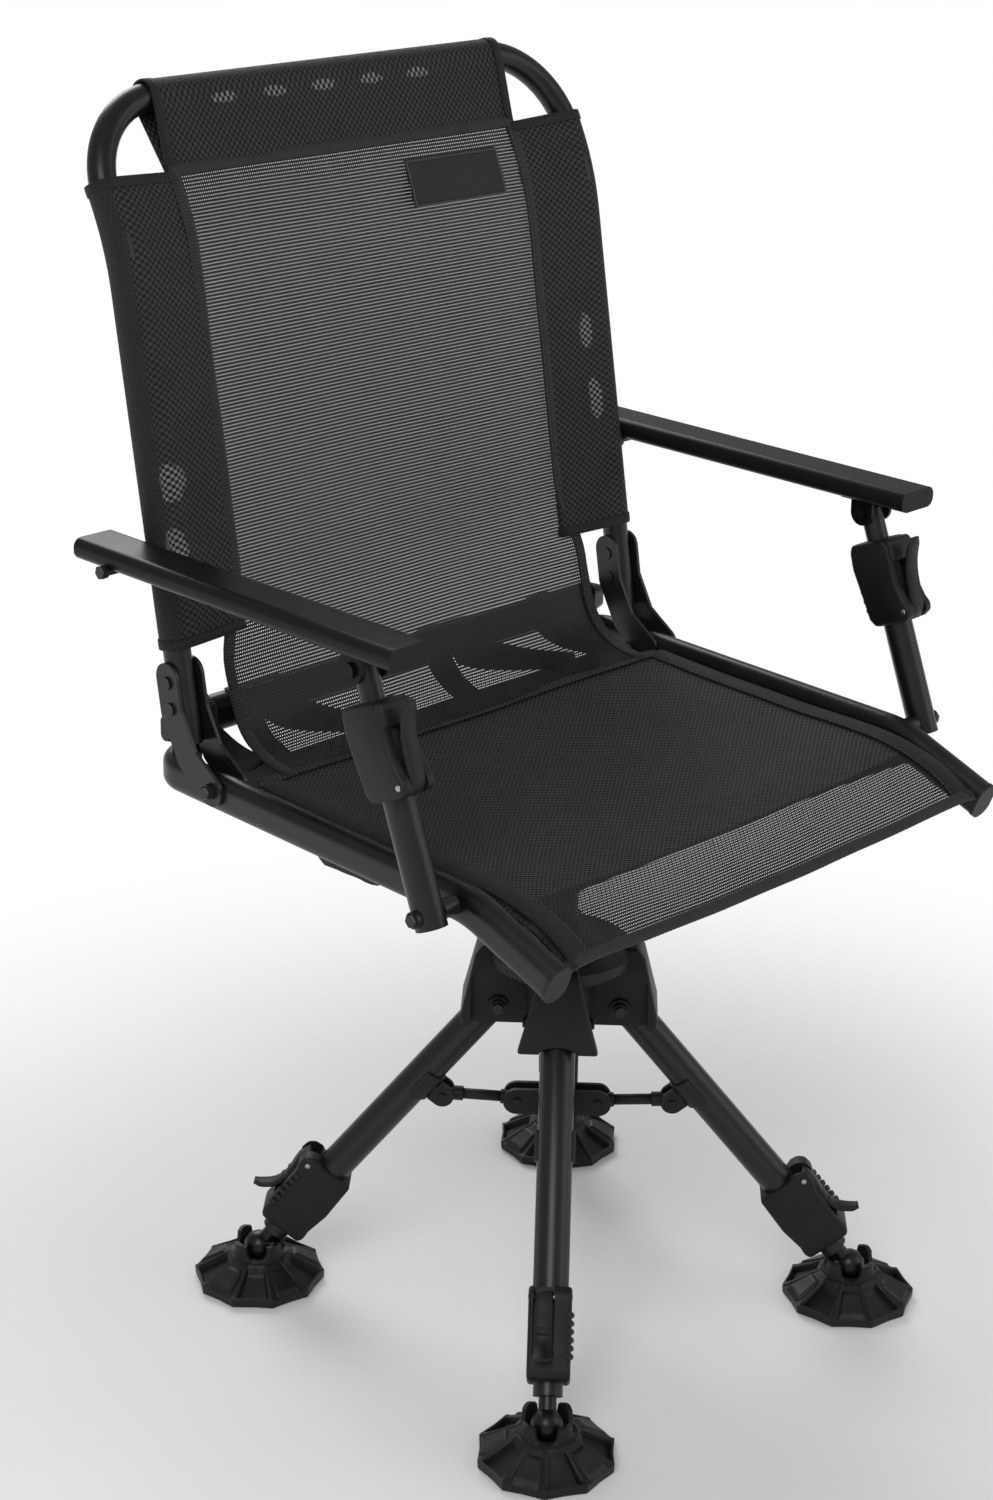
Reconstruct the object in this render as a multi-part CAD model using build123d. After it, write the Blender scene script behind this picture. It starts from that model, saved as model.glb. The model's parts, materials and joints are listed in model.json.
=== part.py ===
"""Folding swivel chair for a hunting blind.

Millimetres, +Z up, +X to the sitter's left, the front of the seat faces -Y.  The origin is on the
floor, on the swivel axis.  Every sub-part is written to its own STEP file in parts/.
"""
from build123d import *
import os
from math import atan2, cos, degrees, hypot, radians, sin, tan

# ---------------------------------------------------------------- driving dimensions
CUT = 0.3                     # gap kept between moving curved faces
LEG_NAMES = ["front_right", "front_left", "rear_left", "rear_right"]
BASE_TURN = -2.0              # the base's turn under the seat, degrees
LEG_ANGLES = [-135 + 90 * i + BASE_TURN for i in range(4)]

# base
LEG_PIVOT_R = 44.0            # leg pivots' distance from the swivel axis
LEG_PIVOT_Z = 243.0
LEG_LEAN = 39.5               # open legs, degrees from vertical
LEG_TO_BALL = 280.0           # leg pivot to ball centre, legs drawn in
LEG_TUBE_R, LEG_INNER_R = 12.5, 10.3
LEG_BORE_R = 10.8
SPINDLE_R = 12.0
LOCK_FROM, LOCK_TO = 190.0, 252.0
BALL_R = 11.5
BALL_Z = LEG_PIVOT_Z - LEG_TO_BALL * cos(radians(LEG_LEAN))
FOOT_R = 49.0
POST_R = 9.5
POST_LOW_Z = 86.0
HUB_TOP_Z = 283.0
SLIDER_Z = 159.0              # brace pivots on the slider, legs open
SLIDER_HALF = 11.0
SLIDER_PIVOT_R = 29.7
BRACKET_R, BRACKET_Z = 84.4, 161.7
EYE_R = 6.0
EYE_HALF = 3.8                # half thickness of a brace's end eye
EAR_T = 3.0

# seat
RAIL_X = 217.5                # half the distance between the rail centre lines
RAIL_W, RAIL_H, WALL = 18.4, 27.0, 1.6
RAIL_REAR = (176.0, 430.5)    # rail centre line in (y, z)
RAIL_KNEE = (-128.0, 424.5)
RAIL_TIP = (-201.0, 397.0)
RAIL_REAR_BEND, RAIL_FRONT_BEND = 20.0, 80.0
STOP_Z = 457.8                # raised rear tube that the back rests against
PLATE_Z = 392.0
PLATE_T = 4.0
CROSSBAR_BEND = 150.0         # where the crossbars' ends begin to rise

# back
HINGE = (112.0, 433.0)        # back hinge in (y, z)
TUBE_X, TUBE_R = 217.5, 9.6
BACK_LOW = (148.0, 455.0)
BACK_KINK = (204.8, 787.0)
BACK_TOP = (248.4, 873.4)
CORNER_BEND = 65.0

# arms
ARM_X = 249.0
ARM_W, ARM_T = 36.0, 15.0
ARM_TOP_Z = 598.0
ARM_FRONT, ARM_REAR = -105.0, 204.0
ARM_PIVOT = (169.9, 583.0)
STRUT_TOP = (-64.0, 574.0)
STRUT_LOW = (-122.0, 426.0)
STRUT_R, STRUT_INNER_R = 10.5, 8.0
PLATE = 2.6                   # thickness of the hinge plates
CLAMP_FROM, CLAMP_TO = 22.0, 84.0   # along the strut, down from its top pivot

os.makedirs("parts", exist_ok=True)


# ---------------------------------------------------------------- helpers
def save(node, *shapes):
    """Write one node; several shapes stay separate solids."""
    solids = [s for shape in shapes for s in shape.solids()]
    export_step(solids[0] if len(solids) == 1 else Compound(children=solids), f"parts/{node}.step")


def rod(start, end, radius):
    """Solid cylinder from start to end."""
    a, b = Vector(*start), Vector(*end)
    low = (Align.CENTER, Align.CENTER, Align.MIN)
    return Plane(origin=a, z_dir=b - a) * Cylinder(radius, (b - a).length, align=low)


def tube(start, end, radius, bore):
    return rod(start, end, radius) - rod(start, end, bore)


def slab(outline, x_low, x_high):
    """Closed (y, z) outline extruded along X."""
    face = make_face(Polyline(*[(x_low, y, z) for y, z in outline], close=True))
    return extrude(face, amount=x_high - x_low, dir=(1, 0, 0))


def rounded_plate(points, radius, x_low, x_high):
    """Plate in the YZ plane: the rounded hull around a chain of (y, z) points."""
    shape = None
    for (y0, z0), (y1, z1) in zip(points, points[1:]):
        length = hypot(y1 - y0, z1 - z0)
        turn = degrees(atan2(z1 - z0, y1 - y0))
        plane = Plane(origin=(x_low, (y0 + y1) / 2, (z0 + z1) / 2), x_dir=(0, 1, 0), z_dir=(1, 0, 0))
        link = extrude(plane * Rot(0, 0, turn) * SlotCenterToCenter(length, 2 * radius),
                       amount=x_high - x_low)
        shape = link if shape is None else shape + link
    return shape


def mirrored(shape):
    return mirror(shape, about=Plane.YZ)


def offset_line(points, distance):
    """Chain of (y, z) points moved sideways, to its left when walked in order."""
    moved = []
    for i, (y, z) in enumerate(points):
        y0, z0 = points[max(i - 1, 0)]
        y1, z1 = points[min(i + 1, len(points) - 1)]
        length = hypot(y1 - y0, z1 - z0)
        moved.append((y - distance * (z1 - z0) / length, z + distance * (y1 - y0) / length))
    return moved


def sheet(points, thickness, half_width):
    """Soft sheet: a (y, z) chain given a thickness, across the chair."""
    outline = offset_line(points, thickness / 2) + offset_line(points, -thickness / 2)[::-1]
    return slab(outline, -half_width, half_width)


def fused(shapes):
    total = shapes[0]
    for shape in shapes[1:]:
        total = total + shape
    return total


# ---------------------------------------------------------------- base
def around_base(shape, angle):
    return Rot(0, 0, angle) * shape


def leg_frame(shape):
    """Leg parts are drawn hanging down -Z from their pivot, outer side +X, then leaned out."""
    return Pos(LEG_PIVOT_R, 0, LEG_PIVOT_Z) * Rot(0, -LEG_LEAN, 0) * shape


def hub_arm():
    half = 20.0
    outline = [(0, 205), (22, 205), (30, 224), (62, 221), (72, 234), (60, 276), (54, 281), (0, 283)]
    face = make_face(Polyline(*[(r, -half, z) for r, z in outline], close=True))
    arm = extrude(face, amount=2 * half, dir=(0, 1, 0))
    pocket_outline = [(27, 199), (64, 199), (66, 238), (60, 260), (27, 260)]
    pocket = make_face(Polyline(*[(r, -13, z) for r, z in pocket_outline], close=True))
    arm = arm - extrude(pocket, amount=26, dir=(0, 1, 0))
    arm = arm - leg_frame(rod((0, 0, 10), (0, 0, -110), LEG_TUBE_R + 0.5))
    return arm


def build_hub():
    core = Pos(0, 0, 244) * Cylinder(30, 78)
    arms = [around_base(hub_arm(), a) for a in LEG_ANGLES]
    hub = fused([core] + arms)
    webs = []
    for angle in LEG_ANGLES:
        web = Pos(0, 0, 266) * Cylinder(44, 32)
        keep = Rot(0, 0, angle + 45) * Pos(32, 0, 266) * Box(40, 40, 32)
        webs.append(web & keep)
    hub = fused([hub] + webs)
    for angle in LEG_ANGLES:
        pocket = Pos(LEG_PIVOT_R + 1, 0, 229.5) * Box(37, 26, 61)
        hub = hub - around_base(pocket, angle)
        bolt_hole = rod((LEG_PIVOT_R, -21, LEG_PIVOT_Z), (LEG_PIVOT_R, 21, LEG_PIVOT_Z), 3.0)
        hub = hub - around_base(bolt_hole, angle)
    hub = hub - rod((0, 0, 200), (0, 0, 252), POST_R)
    return hub - rod((0, 0, 256), (0, 0, 290), SPINDLE_R + 3.2)


def build_pivot_bolts():
    bolts = []
    for angle in LEG_ANGLES:
        shank = rod((LEG_PIVOT_R, -20, LEG_PIVOT_Z), (LEG_PIVOT_R, 20, LEG_PIVOT_Z), 2.95)
        head = rod((LEG_PIVOT_R, 20, LEG_PIVOT_Z), (LEG_PIVOT_R, 23, LEG_PIVOT_Z), 5.2)
        nut = rod((LEG_PIVOT_R, -20, LEG_PIVOT_Z), (LEG_PIVOT_R, -23.5, LEG_PIVOT_Z), 5.2)
        bolts.append(around_base(shank + head + nut, angle))
    return bolts


def build_post():
    return tube((0, 0, POST_LOW_Z), (0, 0, 252), POST_R, POST_R - WALL)


def build_post_cap():
    flange = rod((0, 0, POST_LOW_Z - 3), (0, 0, POST_LOW_Z), POST_R + 1.2)
    plug = rod((0, 0, POST_LOW_Z), (0, 0, POST_LOW_Z + 14), POST_R - WALL)
    screw = rod((0, 0, POST_LOW_Z - 7), (0, 0, POST_LOW_Z - 3), 4.0)
    return flange + plug + screw


def build_bearing_cup():
    """Bearing race pressed in the hub's mouth, with a flanged collar under the seat plate."""
    cup = tube((0, 0, 256), (0, 0, HUB_TOP_Z), SPINDLE_R + 3.2, SPINDLE_R + 0.06)
    collar = tube((0, 0, HUB_TOP_Z), (0, 0, 291), 31, SPINDLE_R + 0.06)
    return cup + collar


def build_slider():
    low, high = SLIDER_Z - SLIDER_HALF, SLIDER_Z + SLIDER_HALF
    r, z = SLIDER_PIVOT_R, SLIDER_Z
    body = rod((0, 0, low), (0, 0, high), 13.5)
    for angle in LEG_ANGLES:
        for side in (-1, 1):
            y = side * (EYE_HALF + 0.7 + EAR_T / 2)
            ear = Pos((r + 12) / 2, y, z) * Box(r - 12, EAR_T, 20)
            ear = ear + rod((r, y - EAR_T / 2, z), (r, y + EAR_T / 2, z), 10)
            head = rod((r, y, z), (r, y + side * (EAR_T / 2 + 1.6), z), 3.2)
            body = body + around_base(ear + head, angle)
    return body - rod((0, 0, low), (0, 0, high), POST_R + CUT)


def build_leg_tube():
    low_end = -(LOCK_FROM + 14)
    outer = rod((0, 0, 8), (0, 0, low_end), LEG_TUBE_R) - rod((0, 0, -13), (0, 0, low_end), LEG_BORE_R)
    return leg_frame(outer - rod((0, -20, 0), (0, 20, 0), 3.0))


def bracket_point():
    """Brace pivot in the leg's own frame: (distance in front of the axis, distance down)."""
    dr, dz = BRACKET_R - LEG_PIVOT_R, BRACKET_Z - LEG_PIVOT_Z
    lean = radians(LEG_LEAN)
    return dr * cos(lean) + dz * sin(lean), dr * sin(lean) - dz * cos(lean)


def build_leg_bracket():
    """Saddle riveted to the leg's inner side, its two ears and the brace's pivot pin."""
    x, down = bracket_point()
    saddle = tube((0, 0, -down - 11), (0, 0, -down + 11), LEG_TUBE_R + 1.8, LEG_TUBE_R)
    saddle = saddle - Pos(20, 0, -down) * Box(36, 40, 40)
    ears = []
    for side in (-1, 1):
        y = side * (EYE_HALF + 0.7 + EAR_T / 2)
        ear = Pos((x - 13) / 2, y, -down) * Box(abs(x) - 13, EAR_T, 17)
        ears.append(ear + rod((x, y - EAR_T / 2, -down), (x, y + EAR_T / 2, -down), 8.5))
    outside = rod((0, 0, -down - 20), (0, 0, -down + 20), LEG_TUBE_R)
    pin = rod((x, -9, -down), (x, 9, -down), 2.45)
    return leg_frame(fused([saddle, ears[0], ears[1]]) - outside + pin)


def build_brace():
    outer, inner = (BRACKET_R, 0, BRACKET_Z), (SLIDER_PIVOT_R, 0, SLIDER_Z)
    shape = rod(inner, outer, 3.7)
    for r, _, z in (outer, inner):
        shape = shape + rod((r, -EYE_HALF, z), (r, EYE_HALF, z), EYE_R)
    shape = shape - rod((BRACKET_R, -10, BRACKET_Z), (BRACKET_R, 10, BRACKET_Z), 2.5)
    return shape - rod((SLIDER_PIVOT_R, -10, SLIDER_Z), (SLIDER_PIVOT_R, 10, SLIDER_Z), 2.5)


def build_leg_inner():
    """Inner tube, end collar and the ball stud screwed into it."""
    top, bottom = -22.0, -(LOCK_TO + 9)
    inner = tube((0, 0, top), (0, 0, bottom), LEG_INNER_R, LEG_INNER_R - 1.5)
    plug = rod((0, 0, bottom + 14), (0, 0, bottom), LEG_INNER_R - 1.5)
    stem = rod((0, 0, bottom), (0, 0, -LEG_TO_BALL), 6.2)
    ball = Pos(0, 0, -LEG_TO_BALL) * Sphere(BALL_R)
    return leg_frame(inner), leg_frame(plug + stem + ball)


def build_leg_lock():
    """Clamp housing fixed on the outer tube's end."""
    length = LOCK_TO - LOCK_FROM
    outline = [(-17, -LOCK_FROM), (13, -LOCK_FROM), (20, -LOCK_FROM - 16), (20, -LOCK_TO + 6),
               (16, -LOCK_TO), (-17, -LOCK_TO), (-19, -LOCK_TO + length / 2)]
    face = make_face(Polyline(*[(x, -15, z) for x, z in outline], close=True))
    body = extrude(face, amount=30, dir=(0, 1, 0))
    body = body - rod((0, 0, -LOCK_FROM + 1), (0, 0, -LOCK_FROM - 14), LEG_TUBE_R)
    body = body - rod((0, 0, -LOCK_FROM - 14), (0, 0, -LOCK_TO - 1), LEG_INNER_R + CUT)
    slot = Pos(20.3, 0, -LOCK_FROM - 27) * Box(13.4, 13.6, 60)
    return leg_frame(body - slot)


LEVER_X, LEVER_DOWN = 19.0, LOCK_FROM + 6


def build_leg_lever():
    """Cam lever lying along the housing's outer side; it turns about its upper end."""
    boss = rod((LEVER_X, -6.5, -LEVER_DOWN), (LEVER_X, 6.5, -LEVER_DOWN), 5.0)
    outline = [(LEVER_X, 4.5), (24, 1), (27, -18), (36, -43), (32, -46), (20, -22), (LEVER_X - 3, -4)]
    blade = make_face(Polyline(*[(x, -6.5, -LEVER_DOWN + z) for x, z in outline], close=True))
    return leg_frame(boss + extrude(blade, amount=13, dir=(0, 1, 0)))


def build_foot(ball_r):
    """Mud foot: a ribbed dish with a slotted socket round the ball."""
    lobes = 10
    rim = []
    for i in range(2 * lobes):
        r = FOOT_R if i % 2 == 0 else FOOT_R - 4.5
        a = radians(180 * i / lobes)
        rim.append((r * cos(a), r * sin(a)))
    waist = [(0.56 * x, 0.56 * y) for x, y in rim]
    low = Plane.XY * make_face(Polyline(*[(x, y, 0) for x, y in rim], close=True))
    brim = extrude(low, amount=7)
    top = make_face(Polyline(*[(x, y, 24) for x, y in waist], close=True))
    edge = make_face(Polyline(*[(x, y, 7) for x, y in rim], close=True))
    dome = loft([edge.face(), top.face()])
    socket = rod((0, 0, 5), (0, 0, BALL_Z + 5), 19)
    hollow = Pos(0, 0, BALL_Z) * Sphere(BALL_R + CUT)
    mouth = Pos(0, 0, BALL_Z) * Cone(BALL_R - 0.5, 24, 16, align=(Align.CENTER, Align.CENTER, Align.MIN))
    slot = Pos(-17, 0, BALL_Z + 6) * Box(30, 15, 20)
    foot = brim + dome + socket - hollow - mouth - slot
    return Pos(ball_r, 0, 0) * foot


def save_legs():
    tube_, bracket, brace = build_leg_tube(), build_leg_bracket(), build_brace()
    inner, stud = build_leg_inner()
    lock, lever = build_leg_lock(), build_leg_lever()
    ball_r = LEG_PIVOT_R + LEG_TO_BALL * sin(radians(LEG_LEAN))
    foot = build_foot(ball_r)
    for name, angle in zip(LEG_NAMES, LEG_ANGLES):
        save(f"leg_tube_{name}", around_base(tube_, angle))
        save(f"leg_bracket_{name}", around_base(bracket, angle))
        save(f"brace_{name}", around_base(brace, angle))
        save(f"leg_inner_{name}", around_base(inner, angle), around_base(stud, angle))
        save(f"leg_lock_{name}", around_base(lock, angle))
        save(f"leg_lever_{name}", around_base(lever, angle))
        save(f"mud_foot_{name}", around_base(foot, angle))


def save_base():
    save("hub", build_hub())
    save("leg_pivot_bolts", *build_pivot_bolts())
    save("centre_post", build_post())
    save("post_cap", build_post_cap())
    save("bearing_cup", build_bearing_cup())
    save("brace_slider", build_slider())
    save_legs()


# ---------------------------------------------------------------- seat
def rail_height(y):
    """Height of the rail's centre line on its straight part."""
    (y0, z0), (y1, z1) = RAIL_REAR, RAIL_KNEE
    return z0 + (y - y0) * (z1 - z0) / (y1 - y0)


def build_rail(side):
    """Oval tube: a straight run, a rear corner turned inward and a front end that droops."""
    oval = SlotOverall(RAIL_H, RAIL_W) - SlotOverall(RAIL_H - 2 * WALL, RAIL_W - 2 * WALL)
    rear, knee, tip = (Vector(side * RAIL_X, y, z) for y, z in (RAIL_REAR, RAIL_KNEE, RAIL_TIP))
    along, droop = (knee - rear).normalized(), (tip - knee).normalized()
    across, up = Vector(side, 0, 0), along.cross(Vector(1, 0, 0))
    turn = along.get_angle(droop)
    trim = RAIL_FRONT_BEND * tan(radians(turn / 2))

    run_start, run_end = rear + along * RAIL_REAR_BEND, knee - along * trim
    first = Plane(origin=run_start, x_dir=up, z_dir=along)
    last = Plane(origin=run_end, x_dir=up, z_dir=along)
    corner_centre = run_start - across * RAIL_REAR_BEND
    inner_end = Plane(origin=corner_centre - along * RAIL_REAR_BEND, x_dir=up, z_dir=-across)
    front = Plane(origin=knee + droop * trim, x_dir=droop.cross(Vector(1, 0, 0)), z_dir=droop)
    return fused([
        extrude(first * oval, amount=(run_end - run_start).length),
        revolve(first * oval, axis=Axis(corner_centre, up * side), revolution_arc=90),
        extrude(inner_end * oval, amount=6),
        revolve(last * oval, axis=Axis(run_end - up * RAIL_FRONT_BEND, (1, 0, 0)), revolution_arc=turn),
        extrude(front * oval, amount=(tip - knee).length - trim),
    ])


def build_rail_plugs():
    """Oval plugs that close the rails' front ends."""
    along = Vector(0, RAIL_TIP[0] - RAIL_KNEE[0], RAIL_TIP[1] - RAIL_KNEE[1]).normalized()
    plugs = []
    for side in (-1, 1):
        end = Plane(origin=(side * RAIL_X, *RAIL_TIP), x_dir=Vector(1, 0, 0).cross(along), z_dir=along)
        head = extrude(end * SlotOverall(RAIL_H + 1, RAIL_W + 1), amount=3.5)
        neck = extrude(end * SlotOverall(RAIL_H - 2 * WALL - 0.4, RAIL_W - 2 * WALL - 0.4), amount=-16)
        plugs.append(head + neck)
    return plugs


def build_stop_tube():
    """Raised rear tube; its rounded ends stand on the rails' rear corners."""
    half = 206.0
    start = Plane(origin=(-half, RAIL_REAR[0], STOP_Z), x_dir=(0, 0, 1), z_dir=(1, 0, 0))
    body = extrude(start * SlotOverall(RAIL_H, RAIL_W), amount=2 * half)
    bore = extrude(start * SlotOverall(RAIL_H - 2 * WALL, RAIL_W - 2 * WALL), amount=2 * half)
    ends = []
    for side in (-1, 1):
        y, up, outward = RAIL_REAR[0], (0, 0, 1), (side, 0, 0)
        face = Plane(origin=(side * half, y, STOP_Z), x_dir=up, z_dir=outward)
        tip = Plane(origin=(side * (half + 12), y - 2, STOP_Z), x_dir=up, z_dir=outward)
        outlines = [face * SlotOverall(RAIL_H, RAIL_W), tip * SlotOverall(RAIL_H - 9, RAIL_W - 9)]
        ends.append(loft([outline.face() for outline in outlines]))
    return fused([body - bore] + ends)


def crossbar_outline(half, reach, flat_z, slope):
    """Side outline (x, z) of a bent crossbar, a half height either side of its mid line."""
    shift, edge = half * tan(slope / 2), half / cos(slope)
    rise = (reach - CROSSBAR_BEND) * tan(slope)
    right = [(CROSSBAR_BEND + shift, flat_z - half), (reach, flat_z + rise - edge),
             (reach, flat_z + rise + edge), (CROSSBAR_BEND - shift, flat_z + half)]
    return right + [(-x, z) for x, z in reversed(right)]


def build_crossbars():
    """Two bent rectangular tubes between the rails; their flat middles carry the seat plate."""
    width, height = 22.0, 13.0
    inner_face = RAIL_X - RAIL_W / 2
    bars = []
    for y in (-70.0, 70.0):
        flat_z = PLATE_Z + PLATE_T + height / 2
        end_z = rail_height(y) - RAIL_H / 2 + height / 2
        slope = atan2(end_z - flat_z, inner_face - CROSSBAR_BEND)
        outer = crossbar_outline(height / 2, inner_face, flat_z, slope)
        bore = crossbar_outline(height / 2 - WALL, inner_face + 5, flat_z, slope)
        solids = []
        for outline, depth in ((outer, width), (bore, width - 2 * WALL)):
            plane = Plane(origin=(0, y + depth / 2, 0), x_dir=(1, 0, 0), z_dir=(0, -1, 0))
            face = make_face(Polyline(*outline, close=True))
            solids.append(extrude(plane * face, amount=depth))
        bars.append(solids[0] - solids[1])
    return bars


def build_seat_plate():
    plate = Pos(0, 0, PLATE_Z + PLATE_T / 2) * Box(180, 170, PLATE_T)
    plate = fillet(plate.edges().filter_by(Axis.Z), 18)
    return plate


def build_spindle():
    """Swivel spindle: a shaft in the hub's bearing, a thrust collar and the flange under the plate."""
    shaft = rod((0, 0, 257), (0, 0, PLATE_Z), SPINDLE_R)
    collar = rod((0, 0, 291.5), (0, 0, 300), 24)
    flange = rod((0, 0, PLATE_Z - 6), (0, 0, PLATE_Z), 55)
    cone = Pos(0, 0, PLATE_Z - 36) * Cone(16, 45, 30, align=(Align.CENTER, Align.CENTER, Align.MIN))
    return fused([shaft, collar, cone, flange])


def sling_line():
    """Seat sling's mid line in (y, z), from the front edge to the rear edge."""
    lift = 7.0
    return [(-204, 404), (-188, 415), (-165, 425), (-128, rail_height(-128) + lift),
            (0, rail_height(0) + lift), (96, rail_height(96) + lift)]


APRON_LINE = [(99, 437.5), (120, 441), (136, 452), (145, 466), (149, 480)]


def under_panel_line():
    """Lining that hangs from the stop tube's straps, close under the sling."""
    return [(138, 430), (100, 430), (40, 430), (-30, 429.2), (-90, 428.2)]


def build_frame_bolts():
    """Pivots on the rails: two bolts through them for the back, two welded studs for the struts."""
    bolts = []
    plate_in, plate_out = TUBE_X - TUBE_R - PLATE - CUT, TUBE_X + TUBE_R + PLATE + CUT
    face, strut_out = RAIL_X + RAIL_W / 2 + 0.1, ARM_X + STRUT_R + CUT
    for side in (-1, 1):
        for (y, z), inner, outer in ((HINGE, plate_in, plate_out), (STRUT_LOW, face, strut_out)):
            shank = rod((side * inner, y, z), (side * outer, y, z), 2.95)
            bolts.append(shank + rod((side * outer, y, z), (side * (outer + 3), y, z), 5.6))
        y, z = HINGE
        bolts[-2] = bolts[-2] + rod((side * plate_in, y, z), (side * (plate_in - 2.5), y, z), 4.4)
    return bolts


def save_seat():
    for side, name in ((-1, "right"), (1, "left")):
        hinge_hole = rod((side * (RAIL_X - 20), *HINGE), (side * (RAIL_X + 20), *HINGE), 3.0)
        save(f"rail_{name}", build_rail(side) - hinge_hole)
    save("rail_plugs", *build_rail_plugs())
    save("stop_tube", build_stop_tube())
    save("crossbars", *build_crossbars())
    save("seat_plate", build_seat_plate())
    save("swivel_spindle", build_spindle())
    save("frame_bolts", *build_frame_bolts())
    save("seat_sling", sheet(sling_line(), 2.4, RAIL_X - RAIL_W / 2 - 0.6))
    save("apron", sheet(APRON_LINE, 2.4, 190))
    save("under_panel", sheet(under_panel_line(), 2.4, RAIL_X - RAIL_W / 2 - 9.0))


# ---------------------------------------------------------------- back
def build_back_frame():
    """Inverted-U tube, bent back above the kink."""
    left = [(TUBE_X, *BACK_LOW), (TUBE_X, *BACK_KINK), (TUBE_X, *BACK_TOP)]
    right = [(-x, y, z) for x, y, z in left[::-1]]
    path = FilletPolyline(*(left + right), radius=[60, CORNER_BEND, CORNER_BEND, 60])
    direction = Vector(*left[1]) - Vector(*left[0])
    start = Plane(origin=left[0], x_dir=(1, 0, 0), z_dir=direction)
    outer = sweep(start * Circle(TUBE_R), path=path)
    bore = sweep(start * Circle(TUBE_R - WALL), path=path)
    return outer - bore


def along_back(height):
    """Point (y, z) of the lower tube's centre line at a height."""
    share = (height - BACK_LOW[1]) / (BACK_KINK[1] - BACK_LOW[1])
    return BACK_LOW[0] + share * (BACK_KINK[0] - BACK_LOW[0]), height


def build_hinge_plates():
    """Two plates each side, turning on the hinge bolt."""
    chain = [HINGE, (136, 449), along_back(478), along_back(502)]
    plates = []
    for side in (-1, 1):
        for low in (TUBE_X - TUBE_R - PLATE, TUBE_X + TUBE_R):
            ends = sorted((side * low, side * (low + PLATE)))
            plate = rounded_plate(chain, 11, *ends)
            plates.append(plate - rod((-240, *HINGE), (240, *HINGE), 3.0))
    return plates


def build_hinge_rivets():
    """Rivet heads that hold the plates to the back tube."""
    rivets = []
    for side in (-1, 1):
        for height in (481, 499):
            y, z = along_back(height)
            reach = TUBE_X + TUBE_R + PLATE
            head = rod((side * reach, y, z), (side * (reach + 1.8), y, z), 4.6)
            inside = TUBE_X - TUBE_R - PLATE
            tail = rod((side * inside, y, z), (side * (inside - 1.2), y, z), 4.6)
            rivets += [head, tail]
    return rivets


def back_panel_line():
    (y0, z0), (y1, z1) = along_back(492), BACK_KINK
    dy, dz = BACK_TOP[0] - y1, BACK_TOP[1] - z1
    share = 1 - (TUBE_R + 1.5) / hypot(dy, dz)
    return [(y0, z0), (y1, z1), (y1 + share * dy, z1 + share * dz)]


def build_back_panel():
    panel = sheet(back_panel_line(), 3.0, TUBE_X - TUBE_R - PLATE - 1.8)
    up = Vector(0, BACK_TOP[0] - BACK_KINK[0], BACK_TOP[1] - BACK_KINK[1]).normalized()
    inset = CORNER_BEND + TUBE_R + 1
    for side in (-1, 1):
        corner = Plane(origin=(side * TUBE_X, *BACK_TOP), x_dir=(1, 0, 0), z_dir=up.cross(Vector(1, 0, 0)))
        block = extrude(corner * Rectangle(2 * inset, 2 * inset), amount=20, both=True)
        panel = panel - block
    return panel


def save_back():
    save("back_frame", build_back_frame())
    save("hinge_plates", *build_hinge_plates(), *build_hinge_rivets())
    save("back_panel", build_back_panel())


# ---------------------------------------------------------------- arms
def strut_point(down):
    """Point (y, z) on the strut's axis, a distance below its top pivot."""
    dy, dz = STRUT_LOW[0] - STRUT_TOP[0], STRUT_LOW[1] - STRUT_TOP[1]
    length = hypot(dy, dz)
    return STRUT_TOP[0] + dy * down / length, STRUT_TOP[1] + dz * down / length


STRUT_LENGTH = hypot(STRUT_TOP[0] - STRUT_LOW[0], STRUT_TOP[1] - STRUT_LOW[1])


def build_arm():
    """Flattened tube with end caps; its underside carries the U bracket."""
    centre = Plane(origin=(ARM_X, ARM_FRONT + 4, ARM_TOP_Z - ARM_T / 2), x_dir=(1, 0, 0), z_dir=(0, 1, 0))
    length = ARM_REAR - ARM_FRONT - 8
    section = centre * RectangleRounded(ARM_W, ARM_T, 6.5)
    bore = centre * RectangleRounded(ARM_W - 3, ARM_T - 3, 5)
    body = extrude(section, amount=length) - extrude(bore, amount=length)
    caps = []
    for y in (ARM_FRONT, ARM_REAR - 4):
        end = Plane(origin=(ARM_X, y, ARM_TOP_Z - ARM_T / 2), x_dir=(1, 0, 0), z_dir=(0, 1, 0))
        caps.append(extrude(end * RectangleRounded(ARM_W, ARM_T, 6.5), amount=4))
    bolt = rod((ARM_X + 30, *ARM_PIVOT), (ARM_X - 30, *ARM_PIVOT), 3.3)
    return body - bolt, caps


def build_arm_bracket():
    """U bracket under the arm's front; its two ears take the strut's top pivot."""
    y, z = STRUT_TOP
    under = ARM_TOP_Z - ARM_T
    gap = STRUT_INNER_R + 1.2
    web = Pos(ARM_X, y + 2, under - 0.4) * Box(2 * gap + 5, 34, 0.8)
    shape = web
    for side in (-1, 1):
        x0 = ARM_X + side * gap if side > 0 else ARM_X - gap - 2.5
        ear = Pos(x0 + 1.25, y, (under + z) / 2) * Box(2.5, 19, under - z)
        ear = ear + rod((x0, y, z), (x0 + 2.5, y, z), 9.5)
        stub = rod((ARM_X + side * (gap + 2.5), y, z), (ARM_X + side * (gap + 5), y, z), 5)
        shape = shape + ear + stub
    return shape


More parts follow.
